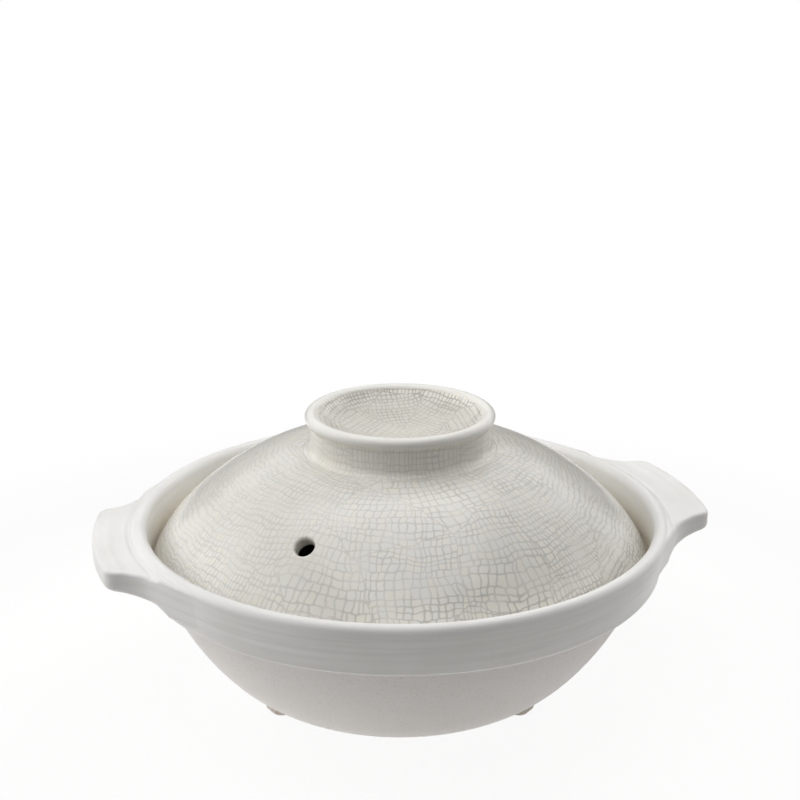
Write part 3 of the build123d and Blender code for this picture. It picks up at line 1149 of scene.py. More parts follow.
@dataclass
class Bowl:
    """The thrown bowl, with its lip, its collar and the ledge that carries the lid.

    Attributes:
        lip_radius: The radius of the rounded lip.
        collar_height: The collar's height, up to the lip's middle.
        collar_taper: How much the collar narrows down to its foot.
        collar_edge_radius: The radius of its lower edge.
        shoulder_inset: How far the shoulder lies inside the collar's foot.
        shoulder_fillet: The fillet between the two.
        base_radius: The radius of the base.
        base_edge_radius: How far in from its edge the base starts to round.
        heel_share: Where on the body's curve that rounding ends.
        body_wall: The thickness of the wall.
        floor_thickness: The thickness of the floor.
        shoulder_pull: The handle of the body's curve at the shoulder, as shares of its run and drop.
        base_pull: The handle at the base, the same way.
        body_rough_length: The body's rough length, which sets how many points it gets.
        inner_share: Up to where the inside follows the body's curve.
        inner_rough_length: The rough length of that stretch.
        heading_step: The share of the curve over which its heading there is measured.
        inner_pull: How far the curve from there to the floor is pulled on down the wall.
        floor_pull: How far it is pulled back along the floor.
        flat_floor_share: The flat floor's radius, as a share of the base's.
        ledge_drop: How far below the lip's middle the ledge lies.
        ledge_edge_radius: The radius of its edge.
        ledge_bore: The radius of the wall above it.
        thin_above: How far beyond the shoulder the glaze is thin.
        warm_before: How far before the end of the lip the inner wall starts to turn warmer, with pooled
        glaze and painted warm light.
        pitch: Distance between the outline's points.
        throwing: How the bowl was thrown.
    """

    lip_radius: float = 3.4
    collar_height: float = 20.0
    collar_taper: float = 2.8
    collar_edge_radius: float = 2.5
    shoulder_inset: float = 9.1
    shoulder_fillet: float = 2.0
    base_radius: float = 74.6
    base_edge_radius: float = 1.6
    heel_share: float = 0.97
    body_wall: float = 6.0
    floor_thickness: float = 7.0
    shoulder_pull: Pair = (0.12, 0.32)
    base_pull: Pair = (0.44, 0.145)
    body_rough_length: float = 72.0
    inner_share: float = 0.66
    inner_rough_length: float = 50.0
    heading_step: float = 0.02
    inner_pull: float = 12.0
    floor_pull: float = 14.0
    flat_floor_share: float = 0.72
    ledge_drop: float = 18.0
    ledge_edge_radius: float = 1.5
    ledge_bore: float = 119.6
    thin_above: float = 3.0
    warm_before: float = 2.0
    pitch: float = 1.1
    throwing: Throwing = Throwing(
        segments=288, wobble_share=0.0016, line_height=0.16, line_spacing=3.4, seed=3
    )

    def __post_init__(self) -> None:
        """Reads the bowl's outer sizes from the frame."""
        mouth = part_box("collar")[1]
        self.mouth_radius = mouth[0] / MM
        self.rim_height = mouth[2] / MM
        self.base_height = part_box("bowl")[0][2] / MM
        self.lip_middle = (self.mouth_radius - self.lip_radius, self.rim_height - self.lip_radius)
        self.collar_low = self.lip_middle[1] - self.collar_height
        self.collar_foot = self.mouth_radius - self.collar_taper
        self.ledge_height = self.lip_middle[1] - self.ledge_drop

    def collar_radius(self, height: float) -> float:
        """Works out the collar's outer radius.

        Args:
            height: The height at which it is wanted.

        Returns:
            The radius there.
        """
        foot_height = self.collar_low + self.collar_edge_radius
        share = (self.lip_middle[1] - height) / (self.lip_middle[1] - foot_height)
        return self.mouth_radius - self.collar_taper * min(max(share, 0.0), 1.0)

    def outline(self) -> Outline:
        """Draws the bowl from the middle of its base, out and over the lip, to the middle of its floor.

        Returns:
            The outline, with marks at the shoulder, the lip, the ledge and the inside below it.
        """
        line = Outline(pitch=self.pitch)
        shoulder = (self.collar_foot - self.shoulder_inset, self.collar_low - self.shoulder_fillet)
        base = (self.base_radius, self.base_height)
        handles = pulled_handles(shoulder, base, self.shoulder_pull, self.base_pull)
        body = [np.array(q) for q in (shoulder, *handles, base)]
        line.start(0.0, self.base_height)
        line.line(self.base_radius - self.base_edge_radius, self.base_height, lines=0.6)
        line.bezier(base, base, tuple(bezier_point(body, self.heel_share)))
        up = self.heel_share
        line.follow(lambda t: bezier_point(body, up * (1 - t)), self.body_rough_length, lines=0.8)
        line.arc((shoulder[0] + self.shoulder_fillet, shoulder[1]), self.shoulder_fillet, 180, 90)
        line.mark("shoulder")
        rounding = self.collar_edge_radius
        line.line(self.collar_foot - rounding, self.collar_low)
        line.arc((self.collar_foot - rounding, self.collar_low + rounding), rounding, -90, 0)
        line.line(self.mouth_radius, self.lip_middle[1], lines=1.0)
        line.arc(self.lip_middle, self.lip_radius, 0, 180)
        line.mark("lip")
        line.line(self.ledge_bore, self.ledge_height, lines=0.6)
        line.mark("ledge")
        top = inset(body, 0.0, self.body_wall)
        corner = (top[0] + self.ledge_edge_radius, self.ledge_height - self.ledge_edge_radius)
        line.line(corner[0], self.ledge_height)
        line.arc(corner, self.ledge_edge_radius, 90, 180)
        line.mark("inside")
        line.line(*top)
        down = self.inner_share
        line.follow(lambda t: inset(body, down * t, self.body_wall), self.inner_rough_length, lines=0.8)
        wall_end = inset(body, down, self.body_wall)
        falling = wall_end - inset(body, down - self.heading_step, self.body_wall)
        falling = falling / np.linalg.norm(falling) * self.inner_pull
        floor_height = self.base_height + self.floor_thickness
        flat = self.base_radius * self.flat_floor_share
        second, end = (flat + self.floor_pull, floor_height), (flat, floor_height)
        line.bezier(tuple(wall_end + falling), second, end, lines=0.8)
        line.line(0.0, floor_height, lines=1.0)
        return line

    def build(self, wheel: Tree) -> None:
        """Throws and glazes the bowl.

        Args:
            wheel: The tree that turns it.
        """
        line = self.outline()
        glaze = SatinWhiteGlaze(
            name="satin white stoneware glaze, thin below the collar",
            matte_to=line.marks["shoulder"] + self.thin_above,
            wall_from=line.marks["lip"] - self.warm_before,
            wall_to=line.marks["ledge"],
            ledge_to=line.marks["inside"],
        )
        piece = thrown(line, self.throwing, wheel, glaze.build(), "bowl_thrown")
        store_flow(piece, line)
        settle(piece, Body.POT, "white_satin_glaze", "bowl", "collar")


@dataclass
class Lug:
    """A pulled lug, flat on top with a groove beside the lip, that flares into the collar.

    Attributes:
        node: The lug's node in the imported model.
        side: The side that it stands on.
        bowl: The bowl that it is luted to.
        tip_thickness: Its thickness at the tip.
        root_thickness: Its thickness at the lip.
        width: The width across the corners of its tip.
        root_width: The width where it ends in the collar.
        corner_radius: The radius of those corners, in plan.
        edge_radius: The radius of its upper edge.
        under_radius: The radius of its lower edge.
        root_overlap: How deep its ends lie in the collar.
        root_turn: How far its ends turn out from the collar, in degrees.
        flank_pull: The handle of its flank at the tip, as shares of its run and spread.
        root_pull: The handle at the root, as a share of the run.
        sunk_radius: The radius to which it reaches inside the lip.
        least_run: The least distance from there to where its edge starts.
        lip_inset: How far inside the mouth's radius its top starts.
        lip_fillet: The fillet there.
        groove_depth: The depth of the groove beside the fillet.
        groove_out: How far out the groove lies.
        groove_width: How wide it is.
        hollow: How much the top sinks between lip and tip.
        ridge: The height of the faint ridge on it.
        ridge_share: Where the ridge lies between lip and tip.
        ridge_width: How wide it is, as a share of the same.
        under_fillet: The fillet below, at the collar.
        blend: Over which distance the ends lean with the collar.
        crowding: How much closer the top's points lie near its inner end, as a power.
        flank_points: Points along the flank.
        halvings: How often the range of the corner's place is halved.
        tip_points: Points along half of the tip.
        corner_points: Points round a corner.
        stations: Points along half of the finished plan.
        top_points: Points across the top.
        under_points: Points across the underside.
        edge_points: Points round each edge.
    """

    node: str
    side: Side
    bowl: Bowl
    tip_thickness: float = 9.0
    root_thickness: float = 13.0
    width: float = 77.0
    root_width: float = 140.0
    corner_radius: float = 7.0
    edge_radius: float = 1.8
    under_radius: float = 2.8
    root_overlap: float = 0.4
    root_turn: float = 6.0
    flank_pull: Pair = (0.35, -0.05)
    root_pull: float = 0.5
    sunk_radius: float = 122.2
    least_run: float = 0.5
    lip_inset: float = 0.6
    lip_fillet: float = 1.2
    groove_depth: float = 0.5
    groove_out: float = 2.4
    groove_width: float = 0.7
    hollow: float = 0.6
    ridge: float = 0.28
    ridge_share: float = 0.62
    ridge_width: float = 0.09
    under_fillet: float = 4.0
    blend: float = 9.0
    crowding: float = 1.25
    flank_points: int = 400
    halvings: int = 40
    tip_points: int = 60
    corner_points: int = 24
    stations: int = 110
    top_points: int = 34
    under_points: int = 22
    edge_points: int = 8

    def __post_init__(self) -> None:
        """Reads the lug's reach and height from the frame."""
        low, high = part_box(self.node)
        self.reach = max(abs(low[0]), abs(high[0])) / MM
        self.top = high[2] / MM

    def flank(self, corner: np.ndarray) -> np.ndarray:
        """Draws the lug's flank in plan, from the sharp corner of its tip to its end in the collar.

        Args:
            corner: The corner.

        Returns:
            The flank's points.
        """
        root_radius = self.bowl.collar_foot - self.root_overlap
        root_angle = math.asin(self.root_width / 2 / root_radius)
        root = root_radius * np.array([math.cos(root_angle), math.sin(root_angle)])
        run, spread = corner[0] - root[0], root[1] - corner[1]
        first = corner + np.array([-run * self.flank_pull[0], spread * self.flank_pull[1]])
        heading = root_angle + math.radians(self.root_turn)
        second = root + np.array([math.sin(heading), -math.cos(heading)]) * run * self.root_pull
        shares = np.linspace(0, 1, self.flank_points)
        return np.array([bezier_point([corner, first, second, root], t) for t in shares])

    def half_plan(self) -> np.ndarray:
        """Draws half of the lug's plan, from the middle of its tip to its end inside the collar.

        The rounded corner touches the tip's circle and the flank; its place is found by halving.

        Returns:
            Points at even distances.
        """
        tip_angle = math.asin(self.width / 2 / self.reach)
        flank = self.flank(np.array([self.reach * math.cos(tip_angle), self.width / 2]))
        low, high = 0.0, tip_angle
        for _ in range(self.halvings):
            angle = (low + high) / 2
            middle = (self.reach - self.corner_radius) * np.array([math.cos(angle), math.sin(angle)])
            gaps = np.linalg.norm(flank - middle, axis=1)
            low, high = (angle, high) if gaps.min() > self.corner_radius else (low, angle)
        touch = int(np.argmin(gaps))
        turn_end = math.atan2(*(flank[touch] - middle)[::-1])
        tip_angles = np.linspace(0, angle, self.tip_points)[:-1]
        tip = [(self.reach * math.cos(a), self.reach * math.sin(a)) for a in tip_angles]
        turn = np.linspace(angle, turn_end, self.corner_points)
        bend = [middle + self.corner_radius * np.array([math.cos(a), math.sin(a)]) for a in turn]
        line = np.array(tip + bend + list(flank[touch + 1:]))
        lengths = np.concatenate([[0], np.cumsum(np.linalg.norm(np.diff(line, axis=0), axis=1))])
        even = np.linspace(0, lengths[-1], self.stations)
        return np.stack([np.interp(even, lengths, line[:, i]) for i in (0, 1)], axis=1)

    def top_height(self, radius: float) -> float:
        """Works out the height of the lug's top: a fillet at the lip, a groove and a faint ridge.

        Args:
            radius: The distance from the axis.

        Returns:
            The height there.
        """
        lip = self.bowl.mouth_radius - self.lip_inset
        groove = self.groove_depth * np.exp(-((radius - lip - self.groove_out) / self.groove_width) ** 2)
        share = np.clip((radius - lip) / (self.reach - lip), 0, 1)
        hollow = self.hollow * np.sin(np.pi * share) ** 2
        ridge = self.ridge * np.exp(-((share - self.ridge_share) / self.ridge_width) ** 2)
        return float(self.top + filleted(radius - lip, self.lip_fillet) - groove - hollow + ridge)

    def under_height(self, radius: float) -> float:
        """Works out the height of the underside: it rises to the tip, with a fillet at the collar.

        Args:
            radius: The distance from the axis.

        Returns:
            The height there.
        """
        mouth, root = self.bowl.mouth_radius, self.top - self.root_thickness
        slope = (self.root_thickness - self.tip_thickness) / (self.reach - mouth)
        collar = self.bowl.collar_radius(root - self.under_fillet / 2)
        return float(root + (radius - mouth) * slope - filleted(radius - collar, self.under_fillet))

    def section(self, edge: np.ndarray, normal: np.ndarray) -> list[Place]:
        """Draws one section of the lug, from inside the lip out round its edge and back below.

        Args:
            edge: The plan's point at this station.
            normal: The plan's outward normal there.

        Returns:
            The section's points, in millimetres.
        """
        points = []
        faces = (
            (self.top_height, self.edge_radius, np.linspace(0, 1, self.top_points) ** self.crowding, -1),
            (self.under_height, self.under_radius, np.linspace(0, 1, self.under_points), 1),
        )
        for height, radius, shares, sign in faces:
            start = edge - normal * radius
            reach = float(np.linalg.norm(start))
            inner = start / reach * min(self.sunk_radius, reach - self.least_run)
            spots = [inner + (start - inner) * share for share in shares]
            run = [(*spot, height(float(np.linalg.norm(spot)))) for spot in spots]
            level = run[-1][2]
            for a in np.linspace(0, math.pi / 2, self.edge_points)[1:]:
                spot = edge - normal * radius * (1 - math.sin(a))
                run.append((*spot, level + sign * radius * (1 - math.cos(a))))
            points += run[::-sign]
        return [self.against_collar(edge, point) for point in points]

    def against_collar(self, edge: np.ndarray, point: Place) -> Place:
        """Leans a point out with the collar's taper where the lug runs out into the collar.

        Args:
            edge: The plan's point at its station.
            point: The point.

        Returns:
            The point's new place.
        """
        x, y, z = point
        share = 1 - (np.linalg.norm(edge) - self.bowl.collar_foot) / self.blend
        share = min(max(float(share), 0.0), 1.0)
        lean = (self.bowl.collar_radius(z) - self.bowl.collar_foot) * share * share * (3 - 2 * share)
        factor = 1 + lean / math.hypot(x, y)
        return x * factor, y * factor, z

    def build(self, glaze: bpy.types.Material) -> None:
        """Builds the lug from its sections and glazes it.

        Args:
            glaze: The lug's glaze.
        """
        half = self.half_plan()
        plan = np.concatenate([(half * (1, -1))[::-1], half[1:]])
        along = np.gradient(plan, axis=0)
        along /= np.linalg.norm(along, axis=1)[:, None]
        normals = np.stack([along[:, 1], -along[:, 0]], axis=1)
        loops = [self.section(edge, normal) for edge, normal in zip(plan, normals)]
        cosine, sine = math.cos(self.side.value), math.sin(self.side.value)
        loops = [
            [(cosine * x - sine * y, sine * x + cosine * y, z) for x, y, z in loop] for loop in loops
        ]
        piece = lofted(loops, glaze, self.node + "_pulled")
        settle(piece, Body.POT, "white_satin_glaze", self.node)


def filleted(distance: float, radius: float) -> float:
    """Works out what a fillet adds beside its wall: its radius at the wall, and less further out."""
    near = np.clip(distance, 0, radius)
    return radius - np.sqrt(radius ** 2 - (radius - near) ** 2)


@dataclass
class Feet:
    """Three pads of clay pressed under the base's edge.

    Attributes:
        length: A pad's length, away from the axis.
        width: Its width.
        corner_radius: The radius of its corners, in plan.
        least_radius: The least that this radius shrinks to where the pad draws in.
        edge_radius: The radius of its lower edge.
        press: Heights above the pad's foot, with how far it draws in there.
        corner_points: Points round a corner.
        edge_points: Points round the lower edge.
        nodes: The feet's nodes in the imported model.
    """

    length: float = 12.4
    width: float = 14.5
    corner_radius: float = 5.0
    least_radius: float = 0.6
    edge_radius: float = 1.6
    press: tuple[Pair, ...] = ((3.9, 0.0), (5.0, 0.35), (5.9, 1.3), (6.5, 3.0))
    corner_points: int = 9
    edge_points: int = 7
    nodes: tuple[str, ...] = ("foot_front_left", "foot_front_right", "foot_back")

    def ring(self, height: float, drawn_in: float) -> list[Place]:
        """Draws the pad's rounded outline.

        Args:
            height: The height of the outline.
            drawn_in: How far it is drawn in.

        Returns:
            The outline's points, in millimetres.
        """
        radius = max(self.corner_radius - drawn_in, self.least_radius)
        x, y = self.length / 2 - drawn_in - radius, self.width / 2 - drawn_in - radius
        points = []
        for quarter, (cx, cy) in enumerate(((x, y), (-x, y), (-x, -y), (x, -y))):
            for a in np.linspace(0, math.pi / 2, self.corner_points):
                turn = a + quarter * math.pi / 2
                points.append((cx + radius * math.cos(turn), cy + radius * math.sin(turn), height))
        return points

    def pad(self, clay: bpy.types.Material) -> bpy.types.Object:
        """Builds one pad, standing at the origin.

        Args:
            clay: Its material.

        Returns:
            The pad.
        """
        loops = []
        for a in np.linspace(0, math.pi / 2, self.edge_points):
            height = self.edge_radius * (1 - math.cos(a))
            loops.append(self.ring(height, self.edge_radius * (1 - math.sin(a))))
        loops += [self.ring(*pressed) for pressed in self.press]
        return lofted(loops, clay, "foot_pad")

    def stamp(self) -> Tree:
        """Builds the tree that sets a pad at each point, turned to face away from the axis.

        Returns:
            The geometry node tree.
        """
        tree = bpy.data.node_groups.new("feet round the base", "GeometryNodeTree")
        sockets = {
            "Places": "NodeSocketGeometry",
            "Pad": "NodeSocketObject",
            "Clay": "NodeSocketMaterial",
        }
        for name, kind in sockets.items():
            tree.interface.new_socket(name, in_out="INPUT", socket_type=kind)
        tree.interface.new_socket("Feet", in_out="OUTPUT", socket_type="NodeSocketGeometry")
        given = add(tree, Kind.INPUTS).outputs
        pad = out(add(tree, Kind.OBJECT, {"Object": given["Pad"]}), "Geometry")
        place = add(tree, Kind.PARTS, (add(tree, Kind.POSITION),)).outputs
        azimuth = add(tree, Kind.MATH, (place["Y"], place["X"]), operation="ARCTAN2")
        turn = add(tree, Kind.JOINED, {"Z": azimuth})
        points = add(tree, Kind.POINTS, {"Mesh": given["Places"]})
        feet = add(tree, Kind.INSTANCES, {"Points": points, "Instance": pad, "Rotation": turn})
        real = add(tree, Kind.REALIZE, {"Geometry": feet})
        coloured = add(tree, Kind.MATERIAL, {"Geometry": real, "Material": given["Clay"]})
        add(tree, Kind.OUTPUTS, (coloured,))
        return tree

    def build(self) -> None:
        """Stands the feet where the frame has them."""
        clay = BareClay().build()
        pad = self.pad(clay)
        mounts = {m["name"]: m["pos_m"] for m in frame["record"]["mounts"]}
        places = [mounts[node.replace("foot", "rest")] for node in self.nodes]
        mesh = bpy.data.meshes.new("foot_places")
        mesh.from_pydata([tuple(p) for p in places], [], [])
        carrier = bpy.data.objects.new("foot_places", mesh)
        bpy.context.scene.collection.objects.link(carrier)
        piece = made_real(carrier, self.stamp(), {"Pad": pad, "Clay": clay}, "feet_pressed")
        bpy.data.objects.remove(pad)
        settle(piece, Body.POT, "bare_clay", *self.nodes)


# Lid and knob

@dataclass
class Lid:
    """The thrown dome with its steam hole.

    Attributes:
        wall: The thickness of the dome.
        edge_height: The height of its upright edge.
        edge_radius: The radius of that edge's foot.
        crown_radius: The radius of the flat crown.
        crown_pull: The handle of the dome's curve at the crown, as shares of its run and drop.
        edge_pull: The handle at the edge, the same way.
        dome_rough_length: The dome's rough length, which sets how many points it gets.
        inner_rough_length: The same, for the inside.
        foot_bevel: How far the flat foot stops short of the inside, and how high its bevel is.
        crown_lift: How much the inside of the crown rises to its middle.
        crown_pulls: The handles of that rise, as radius and lift.
        hole_radius: The radius of the steam hole.
        hole_rounding: The rounding of its mouth.
        hole_share: Its place along the dome's curve, from the crown.
        hole_azimuth: The side that it lies on, in degrees.
        aim_step: The share of that curve over which the drill's direction is measured.
        drill_out: How far the drill stands out of the dome.
        drill_in: How far it goes on beyond the wall.
        drill_brim: How much wider than the mouth the drill's head is.
        drill_sink: How deep the head goes into the glaze.
        pitch: Distance between the outline's points.
        drill_pitch: The same, for the drill.
        throwing: How the lid was thrown.
        drilling: How the drill was turned.
    """

    wall: float = 5.3
    edge_height: float = 2.6
    edge_radius: float = 1.2
    crown_radius: float = 47.0
    crown_pull: Pair = (0.415, 0.025)
    edge_pull: Pair = (0.084, 0.353)
    dome_rough_length: float = 92.0
    inner_rough_length: float = 86.0
    foot_bevel: Pair = (1.0, 1.2)
    crown_lift: float = 0.8
    crown_pulls: tuple[Point, Point] = ((34.0, 0.2), (16.0, 0.8))
    hole_radius: float = 4.35
    hole_rounding: float = 1.3
    hole_share: float = 0.47
    hole_azimuth: float = -131.0
    aim_step: float = 0.01
    drill_out: float = 6.0
    drill_in: float = 8.0
    drill_brim: float = 0.4
    drill_sink: float = 0.12
    pitch: float = 0.8
    drill_pitch: float = 0.5
    throwing: Throwing = Throwing(
        segments=256, wobble_share=0.001, line_height=0.05, line_spacing=5.0, seed=11
    )
    drilling: Throwing = Throwing(
        segments=64, wobble_share=0.0, line_height=0.0, line_spacing=1.0, seed=0
    )

    def __post_init__(self) -> None:
        """Reads the lid's outer sizes from the frame."""
        low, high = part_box("lid")
        self.radius = high[0] / MM
        self.foot = low[2] / MM
        self.crown = high[2] / MM

    def dome(self) -> list[np.ndarray]:
        """Draws the dome's curve, from the crown down to the upright edge.

        Returns:
            Its two ends, with its handles between them.
        """
        start, end = (self.crown_radius, self.crown), (self.radius, self.foot + self.edge_height)
        handles = pulled_handles(start, end, self.crown_pull, self.edge_pull)
        return [np.array(q) for q in (start, *handles, end)]

    def outline(self) -> Outline:
        """Draws the lid from the middle of its crown, out and down to its foot, and back inside.

        Returns:
            The outline, with marks at both ends of its bare foot.
        """
        line = Outline(pitch=self.pitch)
        dome = self.dome()
        line.start(0.0, self.crown)
        line.line(self.crown_radius, self.crown)
        line.follow(lambda t: bezier_point(dome, t), self.dome_rough_length, lines=1.0)
        rounding = self.edge_radius
        line.line(self.radius, self.foot + rounding)
        line.arc((self.radius - rounding, self.foot + rounding), rounding, 0, -90)
        line.mark("foot")
        last = inset(dome, 1.0, self.wall)
        line.line(last[0] + self.foot_bevel[0], self.foot)
        line.mark("foot_end")
        corner = (last[0], self.foot)
        line.bezier(corner, corner, (last[0], self.foot + self.foot_bevel[1]))
        line.line(*last)
        line.follow(lambda t: inset(dome, 1 - t, self.wall), self.inner_rough_length, lines=1.0)
        rise = (*self.crown_pulls, (0.0, self.crown_lift))
        line.bezier(*((radius, self.crown - self.wall + lift) for radius, lift in rise), lines=1.0)
        return line

    def drill(self, wheel: Tree, glaze: bpy.types.Material) -> bpy.types.Object:
        """Makes the drill that bores the steam hole, square to the dome and rounded where it comes out.

        Args:
            wheel: The tree that turns it.
            glaze: The glaze of the hole's wall.

        Returns:
            The drill, in its place.
        """
        line = Outline(pitch=self.drill_pitch)
        reach, low = self.hole_radius + self.hole_rounding, -self.wall - self.drill_in
        line.start(0.0, self.drill_out)
        line.line(reach + self.drill_brim, self.drill_out)
        line.line(reach + self.drill_brim, -self.drill_sink)
        line.line(reach, -self.drill_sink)
        line.arc((reach, -self.drill_sink - self.hole_rounding), self.hole_rounding, 90, 180)
        line.line(self.hole_radius, low)
        line.line(0.0, low)
        drill = thrown(line, self.drilling, wheel, glaze, "steam_drill")
        dome = self.dome()
        spot = bezier_point(dome, self.hole_share)
        ahead = bezier_point(dome, self.hole_share + self.aim_step)
        along = (ahead - spot) / np.linalg.norm(ahead - spot)
        place = Matrix.Rotation(math.radians(self.hole_azimuth), 4, "Z")
        place = place @ Matrix.Translation((spot[0] * MM, 0, spot[1] * MM))
        place = place @ Matrix.Rotation(math.atan2(-along[1], along[0]), 4, "Y")
        drill.data.transform(place)
        return drill

    def build(self, wheel: Tree) -> None:
        """Throws the lid, bores the steam hole and glazes it.

        Args:
            wheel: The tree that turns it.
        """
        line = self.outline()
        glaze = CrackleGlaze(
            name="crackle glaze over pale stoneware, dipped",
            plain_from=line.marks["foot"],
            plain_to=line.marks["foot_end"],
            plain="#c9bcab",
            plain_roughness=0.85,
            soft=0.8,
        ).build()
        piece = thrown(line, self.throwing, wheel, glaze, "lid_thrown")
        drill = self.drill(wheel, glaze)
        cut = piece.modifiers.new("steam hole", "BOOLEAN")
        cut.operation, cut.solver, cut.object = "DIFFERENCE", "EXACT", drill
        graph = bpy.context.evaluated_depsgraph_get()
        bored = bpy.data.meshes.new_from_object(piece.evaluated_get(graph))
        piece.modifiers.clear()
        piece.data = bored
        bpy.data.objects.remove(drill)
        store_flow(piece, line)
        settle(piece, Body.LID, "crackle_glaze", "lid")


@dataclass
class Knob:
    """The ring on the crown: a rolled lip on a straight neck, with a dished top.

    Attributes:
        lip_half_width: Half the width of the lip.
        lip_half_height: Half its height.
        lip_reach: The radius to which it reaches.
        lip_outer_angle: Where it ends above the neck, in degrees, 0 outwards.
        lip_inner_angle: Where it ends above the dish, the same way.
        lip_rough_length: Its rough length, which sets how many points it gets.
        lip_steps: The fewest steps that it has.
        neck_radius: The radius of the neck.
        neck_drop: How far below the lip's middle the neck is straight.
        neck_tuck: How far out of the neck the curve above it is pulled.
        flare: The fillet between neck and crown.
        floor: The thickness of clay under the middle of the dish.
        dish_rim: The handle of the dish at its rim, as shares of its radius and depth.
        dish_floor_share: The handle at its middle, as a share of its radius.
        sink: How deep the knob sits in the crown.
        plain_inset: How far inside the lip's two ends the stretch without cracks starts and ends.
        pitch: Distance between the outline's points.
        throwing: How the knob was thrown.
    """

    lip_half_width: float = 3.2
    lip_half_height: float = 2.7
    lip_reach: float = 45.1
    lip_outer_angle: float = -55.0
    lip_inner_angle: float = 160.0
    lip_rough_length: float = 11.0
    lip_steps: int = 20
    neck_radius: float = 42.5
    neck_drop: float = 3.9
    neck_tuck: float = 0.5
    flare: float = 3.5
    floor: float = 6.0
    dish_rim: Pair = (0.09, 0.5)
    dish_floor_share: float = 0.56
    sink: float = 0.4
    plain_inset: Pair = (1.0, 0.6)
    pitch: float = 0.6
    throwing: Throwing = Throwing(
        segments=256, wobble_share=0.002, line_height=0.06, line_spacing=3.0, seed=7
    )

    def __post_init__(self) -> None:
        """Reads the knob's height from the frame."""
        low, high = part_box("lid_knob")
        self.foot = low[2] / MM
        self.top = high[2] / MM
        self.middle = (self.lip_reach - self.lip_half_width, self.top - self.lip_half_height)

    def lip(self, angle: float) -> Point:
        """Finds the lip's point at an angle in degrees, 0 outwards."""
        turn, (radius, height) = math.radians(angle), self.middle
        return radius + self.lip_half_width * math.cos(turn), height + self.lip_half_height * math.sin(turn)

    def outline(self) -> Outline:
        """Draws the knob from the middle of its dish, out over the lip and down to the crown.

        Returns:
            The outline, with marks at both ends of its lip.
        """
        line = Outline(pitch=self.pitch)
        inner = self.lip(self.lip_inner_angle)
        floor = self.foot + self.floor
        depth = inner[1] - floor
        line.start(0.0, floor)
        first = (inner[0] * self.dish_floor_share, floor)
        second = (inner[0] * (1 - self.dish_rim[0]), inner[1] - depth * self.dish_rim[1])
        line.bezier(first, second, inner, lines=1.0)
        line.mark("lip")
        start, turn = self.lip_inner_angle, self.lip_outer_angle - self.lip_inner_angle
        line.follow(
            lambda t: self.lip(start + turn * t),
            self.lip_rough_length,
            lines=0.0,
            least=self.lip_steps,
        )
        line.mark("lip_end")
        under = (self.neck_radius, self.middle[1] - self.neck_drop)
        tuck = (self.neck_radius + self.neck_tuck, self.middle[1] - self.lip_half_height)
        line.bezier(tuck, under, under)
        wide = self.neck_radius + self.flare
        line.line(self.neck_radius, self.foot + self.flare, lines=0.7)
        line.arc((wide, self.foot + self.flare), self.flare, 180, 270)
        line.line(wide, self.foot - self.sink)
        line.line(0.0, self.foot - self.sink)
        return line

    def build(self, wheel: Tree) -> None:
        """Throws and glazes the knob.

        Args:
            wheel: The tree that turns it.
        """
        line = self.outline()
        # The knob's cream, cool and cloud colours are lighter than the lid's: painted light that lifts the
        # neck, which stands in the lip's shade.
        glaze = CrackleGlaze(
            name="crackle glaze over pale stoneware, thick on the knob's lip",
            plain_from=line.marks["lip"] + self.plain_inset[0],
            plain_to=line.marks["lip_end"] - self.plain_inset[1],
            plain="#eeece6",
            plain_roughness=0.23,
            soft=1.6,
            pooled_and_shaded_to=line.marks["lip"],
            cream="#f3efe5",
            cool="#efede6",
            cloud="#e8e4d9",
            crackle=Crackle(plate=22.0, row=2.8, cell=2.5, finer=1.0, bend=5.0, shake=2.0),
        )
        piece = thrown(line, self.throwing, wheel, glaze.build(), "knob_thrown")
        store_flow(piece, line)
        settle(piece, Body.LID, "crackle_glaze", "lid_knob")


# Studio

@dataclass(frozen=True)
class Lamp:
    """A soft square lamp that faces the pot.

    Attributes:
        name: The lamp's name.
        place: Where it hangs, in metres.
        size: Its side, in metres.
        power: Its power, in watts.
        mirrored: Whether the glaze shows its reflection.
    """

    name: str
    place: Place
    size: float
    power: float
    mirrored: bool = True

    def hang(self) -> None:
        """Hangs the lamp in the scene."""
        data = bpy.data.lights.new(self.name, "AREA")
        data.size, data.energy = self.size, self.power
        lamp = bpy.data.objects.new(self.name, data)
        lamp.location = self.place
        lamp.rotation_mode = "QUATERNION"
        lamp.rotation_quaternion = (POT_MIDDLE - Vector(self.place)).to_track_quat("-Z", "Y")
        lamp.visible_glossy = self.mirrored
        bpy.context.scene.collection.objects.link(lamp)


